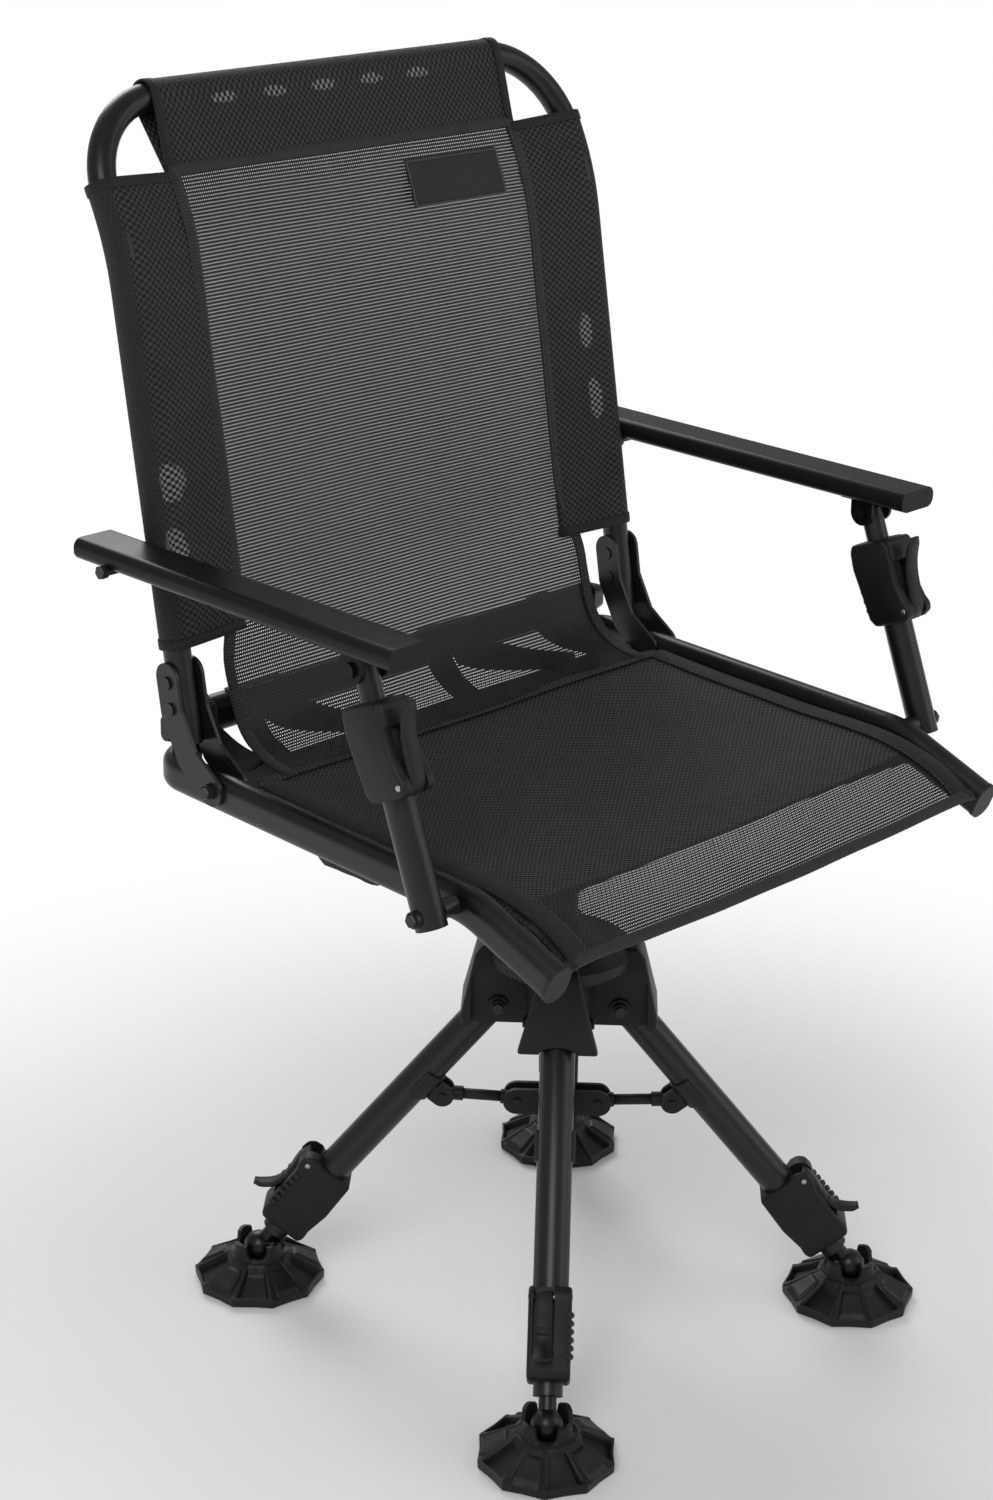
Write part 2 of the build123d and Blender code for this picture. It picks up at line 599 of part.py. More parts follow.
def build_arm_pivot():
    """Bolt and spacer bush at the arm's rear; the bush stands between the tube and the arm."""
    y, z = ARM_PIVOT
    shank = rod((ARM_X + ARM_W / 2 + 0.2, y, z), (TUBE_X + TUBE_R + 0.4, y, z), 3.25)
    head = rod((ARM_X + ARM_W / 2 + 0.2, y, z), (ARM_X + ARM_W / 2 + 3.2, y, z), 4.4)
    bush = rod((ARM_X - ARM_W / 2 - 0.2, y, z), (TUBE_X + TUBE_R + 0.4, y, z), 6.0)
    return shank + head + bush


def build_strut_outer():
    """Lower strut tube, turning on the rail's bolt."""
    top = strut_point(CLAMP_TO - 12)
    low = strut_point(STRUT_LENGTH + 9)
    body = tube((ARM_X, *top), (ARM_X, *low), STRUT_R, STRUT_INNER_R + CUT)
    hole = rod((RAIL_X, *STRUT_LOW), (ARM_X + 20, *STRUT_LOW), 3.0)
    spacer = rod((RAIL_X + RAIL_W / 2 + 0.4, *STRUT_LOW), (ARM_X - STRUT_R + 1.2, *STRUT_LOW), 6.5)
    return (body + spacer) - hole


def build_strut_inner():
    """Upper strut tube; its top end stands between the arm bracket's ears."""
    top = strut_point(-1)
    low = strut_point(STRUT_LENGTH - 20)
    return tube((ARM_X, *top), (ARM_X, *low), STRUT_INNER_R, STRUT_INNER_R - WALL)


def strut_frame(shape):
    """Clamp parts are drawn hanging down -Z from the strut's top pivot, front side -Y."""
    lean = degrees(atan2(STRUT_TOP[0] - STRUT_LOW[0], STRUT_TOP[1] - STRUT_LOW[1]))
    return Pos(ARM_X, *STRUT_TOP) * Rot(-lean, 0, 0) * shape


def build_strut_clamp():
    outline = [(-20, -CLAMP_FROM - 4), (14, -CLAMP_FROM), (17, -CLAMP_TO + 22), (12, -CLAMP_TO),
               (-13, -CLAMP_TO), (-17, -CLAMP_TO + 20)]
    face = make_face(Polyline(*[(-14, y, z) for y, z in outline], close=True))
    body = extrude(face, amount=28, dir=(1, 0, 0))
    body = body - rod((0, 0, -CLAMP_FROM + 1), (0, 0, -CLAMP_TO + 12), STRUT_INNER_R + CUT)
    body = body - rod((0, 0, -CLAMP_TO + 12), (0, 0, -CLAMP_TO - 1), STRUT_R)
    slot = Pos(0, -20.4, -CLAMP_TO + 30) * Box(12.6, 15, 66)
    return strut_frame(body - slot)


STRUT_LEVER_Y, STRUT_LEVER_DOWN = -18.5, CLAMP_TO - 8


def build_strut_lever():
    """Cam lever on the clamp's front; it turns about its lower end."""
    y, z = STRUT_LEVER_Y, -STRUT_LEVER_DOWN
    boss = rod((-6, y, z), (6, y, z), 5)
    outline = [(y, z - 4.5), (y - 6, z), (y - 9, z + 24), (y - 15, z + 48), (y - 11, z + 50),
               (y - 3, z + 26), (y + 3, z + 4)]
    blade = make_face(Polyline(*[(-6, a, b) for a, b in outline], close=True))
    return strut_frame(boss + extrude(blade, amount=12, dir=(1, 0, 0)))


def save_arms():
    arm, caps = build_arm()
    bracket, pivot = build_arm_bracket(), build_arm_pivot()
    lower, upper = build_strut_outer(), build_strut_inner()
    clamp, lever = build_strut_clamp(), build_strut_lever()
    for name, turn in (("left", lambda s: s), ("right", mirrored)):
        save(f"arm_{name}", turn(arm), *[turn(c) for c in caps], turn(bracket))
        save(f"arm_pivot_{name}", turn(pivot))
        save(f"strut_outer_{name}", turn(lower))
        save(f"strut_inner_{name}", turn(upper))
        save(f"strut_clamp_{name}", turn(clamp))
        save(f"strut_lever_{name}", turn(lever))


save_base()
save_seat()
save_back()
save_arms()
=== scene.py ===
"""Looks for the folding swivel chair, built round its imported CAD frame.

Metres, in the CAD's own frame: +Z up, +X to the sitter's left, the seat's front faces -Y, and the
origin is on the floor under the swivel axis.
"""
import json
from math import atan2, cos, pi, radians, sin, sqrt

import bpy
import numpy as np
from mathutils import Matrix, Vector, noise


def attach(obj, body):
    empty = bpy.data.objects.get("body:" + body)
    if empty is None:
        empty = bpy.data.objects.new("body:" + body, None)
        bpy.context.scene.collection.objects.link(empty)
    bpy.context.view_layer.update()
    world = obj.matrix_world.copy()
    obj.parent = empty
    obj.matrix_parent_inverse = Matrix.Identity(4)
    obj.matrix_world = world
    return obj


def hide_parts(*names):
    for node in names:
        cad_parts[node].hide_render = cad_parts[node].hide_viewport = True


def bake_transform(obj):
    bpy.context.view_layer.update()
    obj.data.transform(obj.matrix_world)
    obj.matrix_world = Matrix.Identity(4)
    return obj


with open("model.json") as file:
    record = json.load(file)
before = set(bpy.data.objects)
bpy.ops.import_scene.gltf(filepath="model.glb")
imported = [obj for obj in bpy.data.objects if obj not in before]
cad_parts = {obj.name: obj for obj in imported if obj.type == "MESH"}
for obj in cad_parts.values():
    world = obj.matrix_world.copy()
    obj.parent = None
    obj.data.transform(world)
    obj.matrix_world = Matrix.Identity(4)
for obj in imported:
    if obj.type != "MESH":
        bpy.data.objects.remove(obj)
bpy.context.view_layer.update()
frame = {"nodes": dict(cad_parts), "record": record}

# ---------------------------------------------------------------- driving dimensions, in metres
LEG_ANGLES = {"front_right": -137, "front_left": -47, "rear_left": 43, "rear_right": 133}
SIDES = ((-1, "right"), (1, "left"))
LEG_PIVOT_R, LEG_PIVOT_Z = 0.044, 0.243
LEG_LEAN = radians(39.5)
LEG_TO_BALL = 0.280
BALL_FROM_AXIS = LEG_PIVOT_R + LEG_TO_BALL * sin(LEG_LEAN)
FOOT_R, FOOT_LOBES = 0.049, 10
BRACE_INNER, BRACE_OUTER = (0.0297, 0, 0.159), (0.0844, 0, 0.1617)

TUBE_X, TUBE_R = 0.2175, 0.0096
BACK_LOW, BACK_KINK, BACK_TOP = (0.148, 0.455), (0.2048, 0.787), (0.2484, 0.8734)
SLEEVE_LOW, SLEEVE_HIGH = 0.521, 0.826
SLEEVE_DEPTH, TOP_SLEEVE_DEPTH = 0.060, 0.052
TOP_SLEEVE_HALF = 0.163
CLOTH_GAP = 0.0012              # cloth stands this far off the tubes
HOLLOW = 0.010                  # the back's cloth gives this much in its middle
SEAM_HALF = 0.0007              # half of the sleeve's two layers where they are sewn together
TAPE_W, TAPE_T = 0.0088, 0.0022
PATCH_X, PATCH_Z = (0.047, 0.137), (0.779, 0.811)

RAIL_X, RAIL_W = 0.2175, 0.0184
SEAT_HALF = RAIL_X - RAIL_W / 2 - 0.0002
SEAT_REAR_Y = 0.096
SEAT_SAG, LINING_SAG = 0.011, 0.0095

STRUT_TOP, STRUT_LOW = (-0.064, 0.574), (-0.122, 0.426)
STRUT_R, HINGE_PLATE = 0.0105, 0.0026
ARM_X, ARM_PIVOT = 0.249, (0.1699, 0.583)
ARM_BOLT_OUT = 0.021            # from the arm's middle to the outside of its pivot bolt
FRAME_BOLT = (0.112, 0.433)
BOLT_HEAD = 0.0031              # the CAD's flat bolt heads and the gap under them
HUB_BOLT_Y = 0.0225


# ---------------------------------------------------------------- meshes
def new_piece(name, verts, faces, material, smooth=True):
    mesh = bpy.data.meshes.new(name)
    mesh.from_pydata([tuple(v) for v in verts], [], faces)
    mesh.update()
    obj = bpy.data.objects.new(name, mesh)
    bpy.context.scene.collection.objects.link(obj)
    mesh.materials.append(material)
    mesh.polygons.foreach_set("use_smooth", [smooth] * len(mesh.polygons))
    return obj


def place(obj, body, slot, *nodes):
    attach(obj, body)
    if nodes:
        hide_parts(*nodes)
    return obj


def round_edges(obj, width, segments=2):
    """Rounds the sharp edges and keeps the flat faces flat."""
    bevel = obj.modifiers.new("round", "BEVEL")
    bevel.width, bevel.segments, bevel.limit_method = width, segments, "ANGLE"
    bevel.angle_limit = radians(28)
    bevel.use_clamp_overlap = True
    obj.modifiers.new("normals", "WEIGHTED_NORMAL").keep_sharp = True
    return obj


def thicken(obj, thickness):
    solid = obj.modifiers.new("thickness", "SOLIDIFY")
    solid.thickness, solid.offset = thickness, 0
    return obj


def applied(obj):
    """Bakes the object's modifiers into its mesh."""
    shape = obj.evaluated_get(bpy.context.evaluated_depsgraph_get())
    mesh = bpy.data.meshes.new_from_object(shape)
    obj.modifiers.clear()
    obj.data = mesh
    return obj


def combine(obj, other, operation):
    """Boolean of two solids, applied at once; the second one is used up."""
    bpy.context.view_layer.update()
    step = obj.modifiers.new("boolean", "BOOLEAN")
    step.operation, step.object, step.solver = operation, other, "EXACT"
    applied(obj)
    bpy.data.objects.remove(other)
    return obj


def prism(name, outline, low, high, material):
    """Closed outline of (x, z) points extruded along Y from low to high."""
    count = len(outline)
    verts = [(x, low, z) for x, z in outline] + [(x, high, z) for x, z in outline]
    faces = [tuple(range(count)), tuple(range(2 * count - 1, count - 1, -1))]
    faces += [(i, i + count, (i + 1) % count + count, (i + 1) % count) for i in range(count)]
    return new_piece(name, verts, outward(verts, faces), material)


def outward(verts, faces):
    """The faces, turned so that the closed shape's volume is positive."""
    volume = 0.0
    for face in faces:
        a = Vector(verts[face[0]])
        for i in range(1, len(face) - 1):
            volume += a.dot(Vector(verts[face[i]]).cross(Vector(verts[face[i + 1]])))
    return faces if volume > 0 else [tuple(reversed(face)) for face in faces]


def solid(part):
    """A closed (verts, faces) with its faces turned outward."""
    return part[0], outward(*part)


def loft(rings, loop=False):
    """Verts and faces through closed rings, with flat ends or with the last ring joined to the first."""
    count = len(rings[0])
    verts = [v for ring in rings for v in ring]
    faces = []
    for j in range(len(rings) if loop else len(rings) - 1):
        low, high = j * count, (j + 1) % len(rings) * count
        for i in range(count):
            k = (i + 1) % count
            faces.append((low + i, low + k, high + k, high + i))
    if not loop:
        faces.append(tuple(range(count))[::-1])
        faces.append(tuple(range((len(rings) - 1) * count, len(rings) * count)))
    return verts, faces


def heading(points, i):
    """Direction of a chain of points at point i."""
    return (points[min(i + 1, len(points) - 1)] - points[max(i - 1, 0)]).normalized()


def pipe(points, radius, sides=10):
    """Verts and faces of a round bar along a chain of points."""
    points = [Vector(p) for p in points]
    rings, side = [], None
    for i, point in enumerate(points):
        along = heading(points, i)
        if side is None:
            side = along.orthogonal().normalized()
        side = (side - along * side.dot(along)).normalized()
        other = along.cross(side)
        rings.append([point + radius * (cos(a) * side + sin(a) * other)
                      for a in steps(0, 2 * pi, sides, False)])
    return loft(rings)


def lathe(profile, segments=48):
    """Verts and faces of a closed (r, z) profile turned about Z."""
    count = len(profile)
    verts, faces = [], []
    for i in range(segments):
        a = 2 * pi * i / segments
        verts += [(r * cos(a), r * sin(a), z) for r, z in profile]
    for i in range(segments):
        k = (i + 1) % segments
        for j in range(count):
            m = (j + 1) % count
            faces.append((i * count + j, k * count + j, k * count + m, i * count + m))
    return verts, faces


def joined(parts):
    """Several (verts, faces) as one."""
    verts, faces = [], []
    for part_verts, part_faces in parts:
        shift = len(verts)
        verts += list(part_verts)
        faces += [tuple(i + shift for i in face) for face in part_faces]
    return verts, faces


def moved(part, matrix):
    verts, faces = part
    return [matrix @ Vector(v) for v in verts], faces


def mesh_of(obj):
    """Verts and faces of an object's own mesh."""
    return [v.co.copy() for v in obj.data.vertices], [tuple(p.vertices) for p in obj.data.polygons]


def copied(source, name, matrix):
    """A copy of a drawn piece, moved to its place on the chair."""
    obj = bpy.data.objects.new(name, source.data.copy())
    bpy.context.scene.collection.objects.link(obj)
    obj.data.transform(matrix)
    obj.data.update()
    return obj


def remove(*pieces):
    for obj in pieces:
        bpy.data.objects.remove(obj)


def sharpen(obj, angle):
    """Edges that turn by more than the angle are shaded sharp."""
    obj.data.set_sharp_from_angle(angle=radians(angle))
    return obj


def around(angle):
    return Matrix.Rotation(radians(angle), 4, "Z")


def mm(outline):
    return [tuple(value / 1000 for value in point) for point in outline]


def steps(start, stop, count, endpoint=True):
    """Evenly spaced plain numbers."""
    return np.linspace(start, stop, count, endpoint=endpoint).tolist()


def spot_on(chain, share):
    """Which stretch of a chain a share of it falls on, and how far along that stretch."""
    k = share * (len(chain) - 1)
    i = min(int(k), len(chain) - 2)
    return i, k - i


def lerp_on(chain, share):
    """Point of a chain of vectors at a share of it."""
    i, t = spot_on(chain, share)
    return chain[i].lerp(chain[i + 1], t)


def smoothstep(low, high, value):
    t = min(max((value - low) / (high - low), 0.0), 1.0)
    return t * t * (3 - 2 * t)


def through(points, count):
    """Even points on a Catmull-Rom curve through a chain of points."""
    chain = [Vector(p) for p in points]
    chain = [2 * chain[0] - chain[1]] + chain + [2 * chain[-1] - chain[-2]]
    fine = []
    for i in range(1, len(chain) - 2):
        a, b, c, d = chain[i - 1:i + 3]
        for t in steps(0, 1, 24, False):
            fine.append(0.5 * (2 * b + (c - a) * t + (2 * a - 5 * b + 4 * c - d) * t ** 2
                               + (3 * b - a - 3 * c + d) * t ** 3))
    fine.append(chain[-2])
    reach = np.concatenate([[0], np.cumsum([(q - p).length for p, q in zip(fine, fine[1:])])])
    table = np.array([tuple(p) for p in fine])
    wanted = steps(0, reach[-1], count)
    return [Vector([np.interp(w, reach, table[:, k]) for k in range(len(points[0]))]) for w in wanted]


# ---------------------------------------------------------------- materials
def new_material(name, colour, roughness, specular=0.5, sheen=0.0):
    material = bpy.data.materials.new(name)
    material.use_nodes = True
    shader = material.node_tree.nodes["Principled BSDF"]
    shader.inputs["Base Color"].default_value = (*colour, 1)
    shader.inputs["Roughness"].default_value = roughness
    shader.inputs["Specular IOR Level"].default_value = specular
    shader.inputs["Sheen Weight"].default_value = sheen
    return material, material.node_tree, shader


def add_node(tree, kind, inputs=None, **settings):
    node = tree.nodes.new(kind)
    for key, value in settings.items():
        setattr(node, key, value)
    for key, value in (inputs or {}).items():
        if hasattr(value, "is_output"):
            tree.links.new(value, node.inputs[key])
        else:
            node.inputs[key].default_value = value
    return node


def math_node(tree, operation, *values):
    return add_node(tree, "ShaderNodeMath", dict(enumerate(values)), operation=operation).outputs[0]


def clouds(tree, vector, scale, detail):
    inputs = {"Vector": vector, "Scale": scale, "Detail": detail}
    return add_node(tree, "ShaderNodeTexNoise", inputs).outputs[0]


def object_place(tree):
    return add_node(tree, "ShaderNodeTexCoord").outputs["Object"]


def cloth_place(tree):
    """The cloth's own flat place in metres: as a vector, and its two parts."""
    uv = add_node(tree, "ShaderNodeUVMap", uv_map="cut").outputs[0]
    split = add_node(tree, "ShaderNodeSeparateXYZ", {0: uv})
    return uv, split.outputs[0], split.outputs[1]


def mixed(tree, share, first, second, **settings):
    """A mix of two colours."""
    mix = add_node(tree, "ShaderNodeMix", {0: share, 6: first, 7: second}, data_type="RGBA", **settings)
    return mix.outputs[2]


def colour_ramp(tree, value, dark, light, low=0.0, high=1.0):
    """Dark to light while the value goes from low to high."""
    ramp = add_node(tree, "ShaderNodeValToRGB", {"Fac": value})
    first, last = ramp.color_ramp.elements[0], ramp.color_ramp.elements[1]
    first.position, last.position = low, high
    first.color, last.color = (*dark, 1), (*light, 1)
    return ramp.outputs[0]


def set_bump(tree, shader, height, strength, distance):
    bump = add_node(tree, "ShaderNodeBump", {"Height": height, "Strength": strength, "Distance": distance})
    tree.links.new(bump.outputs[0], shader.inputs["Normal"])


def varied(tree, shader, vector, dark, light, scale, roughness):
    """Colour and roughness that wander a little over the surface. Returns the colour."""
    cloud = clouds(tree, vector, scale, 5.0)
    colour = colour_ramp(tree, cloud, dark, light, 0.35, 0.7)
    tree.links.new(colour, shader.inputs["Base Color"])
    span = add_node(tree, "ShaderNodeMapRange", {"Value": cloud, "To Min": roughness[0],
                                                 "To Max": roughness[1]})
    tree.links.new(span.outputs[0], shader.inputs["Roughness"])
    return colour


def lighter_edges(tree, shader, base, edge_tone):
    """Sharp corners and edges a little lighter in colour, by the surface's pointiness."""
    geometry = add_node(tree, "ShaderNodeNewGeometry")
    edge = add_node(tree, "ShaderNodeMapRange", {"Value": geometry.outputs["Pointiness"], "From Min": 0.53,
                                                 "From Max": 0.62, "To Max": 0.55})
    tree.links.new(mixed(tree, edge.outputs[0], base, (*edge_tone, 1)), shader.inputs["Base Color"])


def coated_metal(name, dark, light, roughness, specular=0.34, grain=1400.0):
    """Powder coat: a fine orange-peel grain under a soft gloss."""
    material, tree, shader = new_material(name, light, roughness[0], specular=specular)
    where = object_place(tree)
    lighter_edges(tree, shader, varied(tree, shader, where, dark, light, 28.0, roughness), (0.018, 0.018, 0.019))
    set_bump(tree, shader, clouds(tree, where, grain, 3.0), 0.35, 0.00006)
    return material


def moulded_plastic(name, dark, light, roughness):
    """Spark-eroded mould texture with faint flow marks."""
    material, tree, shader = new_material(name, light, roughness[0], specular=0.3)
    where = object_place(tree)
    lighter_edges(tree, shader, varied(tree, shader, where, dark, light, 45.0, roughness), (0.016, 0.016, 0.016))
    grain = add_node(tree, "ShaderNodeTexVoronoi", {"Vector": where, "Scale": 1600.0})
    set_bump(tree, shader, grain.outputs["Distance"], 0.4, 0.00008)
    return material


def woven(name, dark, light, across, along, relief, backlight_spots=()):
    """Woven cloth whose UVs are in metres: threads at two spacings, with raised crossings.

    backlight_spots are ovals (u, v, half width, half height) where a second layer is missing; on the weave's
    crossings inside them, light from behind the cloth is painted in as light grey."""
    material, tree, shader = new_material(name, light, 0.62, specular=0.2, sheen=0.04)
    uv, u, v = cloth_place(tree)
    warp = math_node(tree, "SINE", math_node(tree, "MULTIPLY", u, 2 * pi / across))
    weft = math_node(tree, "SINE", math_node(tree, "MULTIPLY", v, 2 * pi / along))
    height = math_node(tree, "MULTIPLY", warp, weft)
    colour = colour_ramp(tree, math_node(tree, "MULTIPLY_ADD", height, 0.5, 0.5), dark, light, 0.25, 0.8)
    shade = add_node(tree, "ShaderNodeMapRange", {"Value": clouds(tree, uv, 35.0, 6.0), "To Min": 0.7,
                                                  "To Max": 1.35})
    colour = mixed(tree, 1.0, colour, shade.outputs[0], blend_type="MULTIPLY")
    blotch = math_node(tree, "SUBTRACT", clouds(tree, uv, 130.0, 2.0), 0.5)
    for cu, cv, half_u, half_v in backlight_spots:
        du = math_node(tree, "DIVIDE", math_node(tree, "SUBTRACT", u, cu), half_u)
        dv = math_node(tree, "DIVIDE", math_node(tree, "SUBTRACT", v, cv), half_v)
        reach = math_node(tree, "MULTIPLY_ADD", du, du, math_node(tree, "MULTIPLY", dv, dv))
        reach = math_node(tree, "MULTIPLY_ADD", blotch, 1.6, reach)
        inside = add_node(tree, "ShaderNodeMapRange", {"Value": reach, "From Min": 0.75, "From Max": 1.1,
                                                       "To Min": 1.0, "To Max": 0.0}).outputs[0]
        # painted light: crossings inside each oval are coloured light grey, standing in for light seen
        # through the cloth
        dots = math_node(tree, "GREATER_THAN", height, 0.05)
        colour = mixed(tree, math_node(tree, "MULTIPLY", inside, dots), colour, (0.17, 0.17, 0.17, 1))
    tree.links.new(colour, shader.inputs["Base Color"])
    set_bump(tree, shader, height, 0.8, relief)
    return material


def ribbed(name, dark, light, pitch, relief):
    """Grosgrain or corded cloth: ribs across UV's v, in metres."""
    material, tree, shader = new_material(name, light, 0.6, specular=0.25, sheen=0.05)
    uv, _, v = cloth_place(tree)
    rib = math_node(tree, "SINE", math_node(tree, "MULTIPLY", v, 2 * pi / pitch))
    level = math_node(tree, "MULTIPLY", math_node(tree, "ADD", rib, 1.6), clouds(tree, uv, 60.0, 4.0))
    tree.links.new(colour_ramp(tree, level, dark, light), shader.inputs["Base Color"])
    set_bump(tree, shader, rib, 0.7, relief)
    return material


def thread_material():
    """Vinyl-coated thread of the open mesh."""
    material, tree, shader = new_material("coated_thread", (0.010, 0.010, 0.011), 0.48, specular=0.35)
    varied(tree, shader, object_place(tree), (0.007, 0.007, 0.0075), (0.015, 0.015, 0.016), 60.0, (0.42, 0.6))
    return material


def bright_steel():
    """Zinc plate, for the pins of the clamps' levers."""
    material, tree, shader = new_material("zinc_plate", (0.42, 0.42, 0.43), 0.35)
    shader.inputs["Metallic"].default_value = 1.0
    varied(tree, shader, object_place(tree), (0.30, 0.30, 0.31), (0.50, 0.50, 0.51), 300.0, (0.28, 0.45))
    return material


COAT = coated_metal("black_powder_coat", (0.003, 0.003, 0.0034), (0.007, 0.007, 0.0076), (0.26, 0.38))
ARM_COAT = coated_metal("arm_powder_coat", (0.002, 0.002, 0.0024), (0.005, 0.005, 0.0056), (0.27, 0.38),
                        specular=0.12)
DARK_STEEL = coated_metal("black_oxide_steel", (0.006, 0.006, 0.006), (0.011, 0.011, 0.011), (0.28, 0.42),
                          grain=2200.0)
PLASTIC = moulded_plastic("moulded_black", (0.005, 0.005, 0.0055), (0.009, 0.009, 0.010), (0.46, 0.6))
FOOT_PLASTIC = moulded_plastic("foot_rubber", (0.006, 0.006, 0.0065), (0.012, 0.012, 0.0125), (0.38, 0.55))
PIN_STEEL = bright_steel()
THREAD = thread_material()
SEAT_CLOTH = woven("seat_weave", (0.002, 0.002, 0.0024), (0.040, 0.040, 0.043), 0.0046, 0.0036, 0.0006)
BINDING = ribbed("grosgrain_binding", (0.006, 0.006, 0.0065), (0.024, 0.024, 0.025), 0.0022, 0.00025)
HEM = woven("hem_weave", (0.005, 0.005, 0.0055), (0.020, 0.020, 0.021), 0.0026, 0.002, 0.0003)
PATCH = ribbed("patch_weave", (0.006, 0.006, 0.007), (0.02, 0.02, 0.021), 0.0012, 0.00015)
PATCH_EDGE = ribbed("patch_border", (0.03, 0.03, 0.032), (0.09, 0.09, 0.095), 0.0015, 0.0002)
STITCH = new_material("stitching_thread", (0.05, 0.05, 0.052), 0.5)[0]

SLOT_LOOKS = {"powder_coat": COAT, "arm_coat": ARM_COAT, "moulded_black": PLASTIC,
              "fastener_black": DARK_STEEL, "bare_post": COAT, "mesh_fabric": HEM, "sling_fabric": HEM}


def paint_cad_nodes():
    """Every CAD node that stays in view gets its slot's procedural material."""
    for row in frame["record"]["subparts"]:
        mesh, look = frame["nodes"][row["node"]].data, SLOT_LOOKS[row["material_slot"]]
        for i in range(len(mesh.materials)):
            mesh.materials[i] = look
        if not len(mesh.materials):
            mesh.materials.append(look)


# ---------------------------------------------------------------- the back's line
def back_point(distance):
    """(y, z) a distance up the back tube's line from its low end, with a soft bend at the kink."""
    lower = Vector(BACK_KINK) - Vector(BACK_LOW)
    upper = Vector(BACK_TOP) - Vector(BACK_KINK)
    first, bend = lower.length, 0.03
    if distance <= first - bend:
        return Vector(BACK_LOW) + lower.normalized() * distance
    if distance >= first + bend:
        return Vector(BACK_KINK) + upper.normalized() * (distance - first)
    a = Vector(BACK_KINK) - lower.normalized() * bend
    b = Vector(BACK_KINK) + upper.normalized() * bend
    t = (distance - first + bend) / (2 * bend)
    return (1 - t) ** 2 * a + 2 * t * (1 - t) * Vector(BACK_KINK) + t ** 2 * b


BACK_LENGTH = (Vector(BACK_KINK) - Vector(BACK_LOW)).length + (Vector(BACK_TOP) - Vector(BACK_KINK)).length


def back_at_height(z):
    low, high = 0.0, BACK_LENGTH
    for _ in range(30):
        middle = (low + high) / 2
        if back_point(middle)[1] < z:
            low = middle
        else:
            high = middle
    return low


def back_frame_at(distance):
    """Point, upward direction and forward normal, in 3-D, on the back's centre plane."""
    here, step = back_point(distance), 0.002
    up = (back_point(distance + step) - back_point(distance - step)).normalized()
    return Vector((0, *here)), Vector((0, *up)), Vector((0, -up[1], up[0]))


# ---------------------------------------------------------------- cloth
def cloth_grid(name, surface, cut, counts, material, thickness):
    """Sheet of cloth: surface(u, v) for u, v in 0..1; cut is its flat (width, length)."""
    nu, nv = counts
    verts = [surface(i / nu, j / nv) for j in range(nv + 1) for i in range(nu + 1)]
    faces = [(j * (nu + 1) + i, j * (nu + 1) + i + 1, (j + 1) * (nu + 1) + i + 1, (j + 1) * (nu + 1) + i)
             for j in range(nv) for i in range(nu)]
    obj = new_piece(name, verts, faces, material)
    layer = obj.data.uv_layers.new(name="cut")
    for loop in obj.data.loops:
        i, j = loop.vertex_index % (nu + 1), loop.vertex_index // (nu + 1)
        layer.data[loop.index].uv = (cut[0] * i / nu, cut[1] * j / nv)
    return thicken(obj, thickness)


def net(name, surface, cut, pitches, widths, lift=0.00028):
    """Open woven mesh: flat threads both ways, each going over and under the others.

    surface(u, v) for u, v in 0..1 gives a point; pitches are across (between warp threads) and along."""
    warps, wefts = round(cut[0] / pitches[0]), round(cut[1] / pitches[1])
    grid = [[surface((i + 0.5) / warps, (j + 0.5) / wefts) for i in range(warps)] for j in range(wefts)]
    table = np.array([[tuple(p) for p in row] for row in grid])
    along_v = np.gradient(table, axis=0)
    along_u = np.gradient(table, axis=1)
    normal = np.cross(along_u, along_v)
    for array in (along_u, along_v, normal):
        array /= np.linalg.norm(array, axis=2, keepdims=True)
    over = np.where((np.add.outer(np.arange(wefts), np.arange(warps)) % 2) == 0, 1.0, -1.0)[..., None]
    verts, faces = [], []

    def threads(centre, side):
        rows, columns = centre.shape[:2]
        shift = len(verts)
        pairs = np.stack([centre - side, centre + side], axis=2).reshape(-1, 3)
        verts.extend(pairs.tolist())
        for r in range(rows):
            start = shift + 2 * r * columns
            faces.extend((start + 2 * c, start + 2 * c + 1, start + 2 * c + 3, start + 2 * c + 2)
                         for c in range(columns - 1))

    threads(table + normal * lift * over, along_v * widths[1] / 2)
    threads((table - normal * lift * over).transpose(1, 0, 2), -along_u.transpose(1, 0, 2) * widths[0] / 2)
    return new_piece(name, verts, faces, THREAD)


def strip(name, line, across, width, thickness, material):
    """Flat tape along a line of points: across is its sideways direction.

    Its edges are thinner than its middle, as a folded tape's are."""
    rings, lengths = [], [0.0]
    half, t = width / 2, thickness / 2
    for i, point in enumerate(line):
        along = heading(line, i)
        side = (Vector(across) - along * along.dot(Vector(across))).normalized()
        normal = along.cross(side)
        rings.append([point + side * a + normal * b for a, b in
                      [(-half, 0), (-half * 0.9, t), (0, t * 1.15), (half * 0.9, t),
                       (half, 0), (half * 0.9, -t), (0, -t * 1.15), (-half * 0.9, -t)]])
        if i:
            lengths.append(lengths[-1] + (point - line[i - 1]).length)
    obj = new_piece(name, *loft(rings), material)
    layer = obj.data.uv_layers.new(name="cut")
    for loop in obj.data.loops:
        ring, k = divmod(loop.vertex_index, 8)
        layer.data[loop.index].uv = (width * (k % 5) / 4, lengths[ring])
    return obj


def stitches(line, pitch=0.0042, length=0.0030, radius=0.00028):
    """Verts and faces of a row of stitches along a line."""
    parts, carried = [], 0.0
    for a, b in zip(line, line[1:]):
        span = (b - a).length
        while carried < span:
            start = a + (b - a) * (carried / span)
            stop = start + (b - a).normalized() * length
            parts.append(pipe([start, (start + stop) / 2, stop], radius, 6))
            carried += pitch
        carried -= span
    return joined(parts)


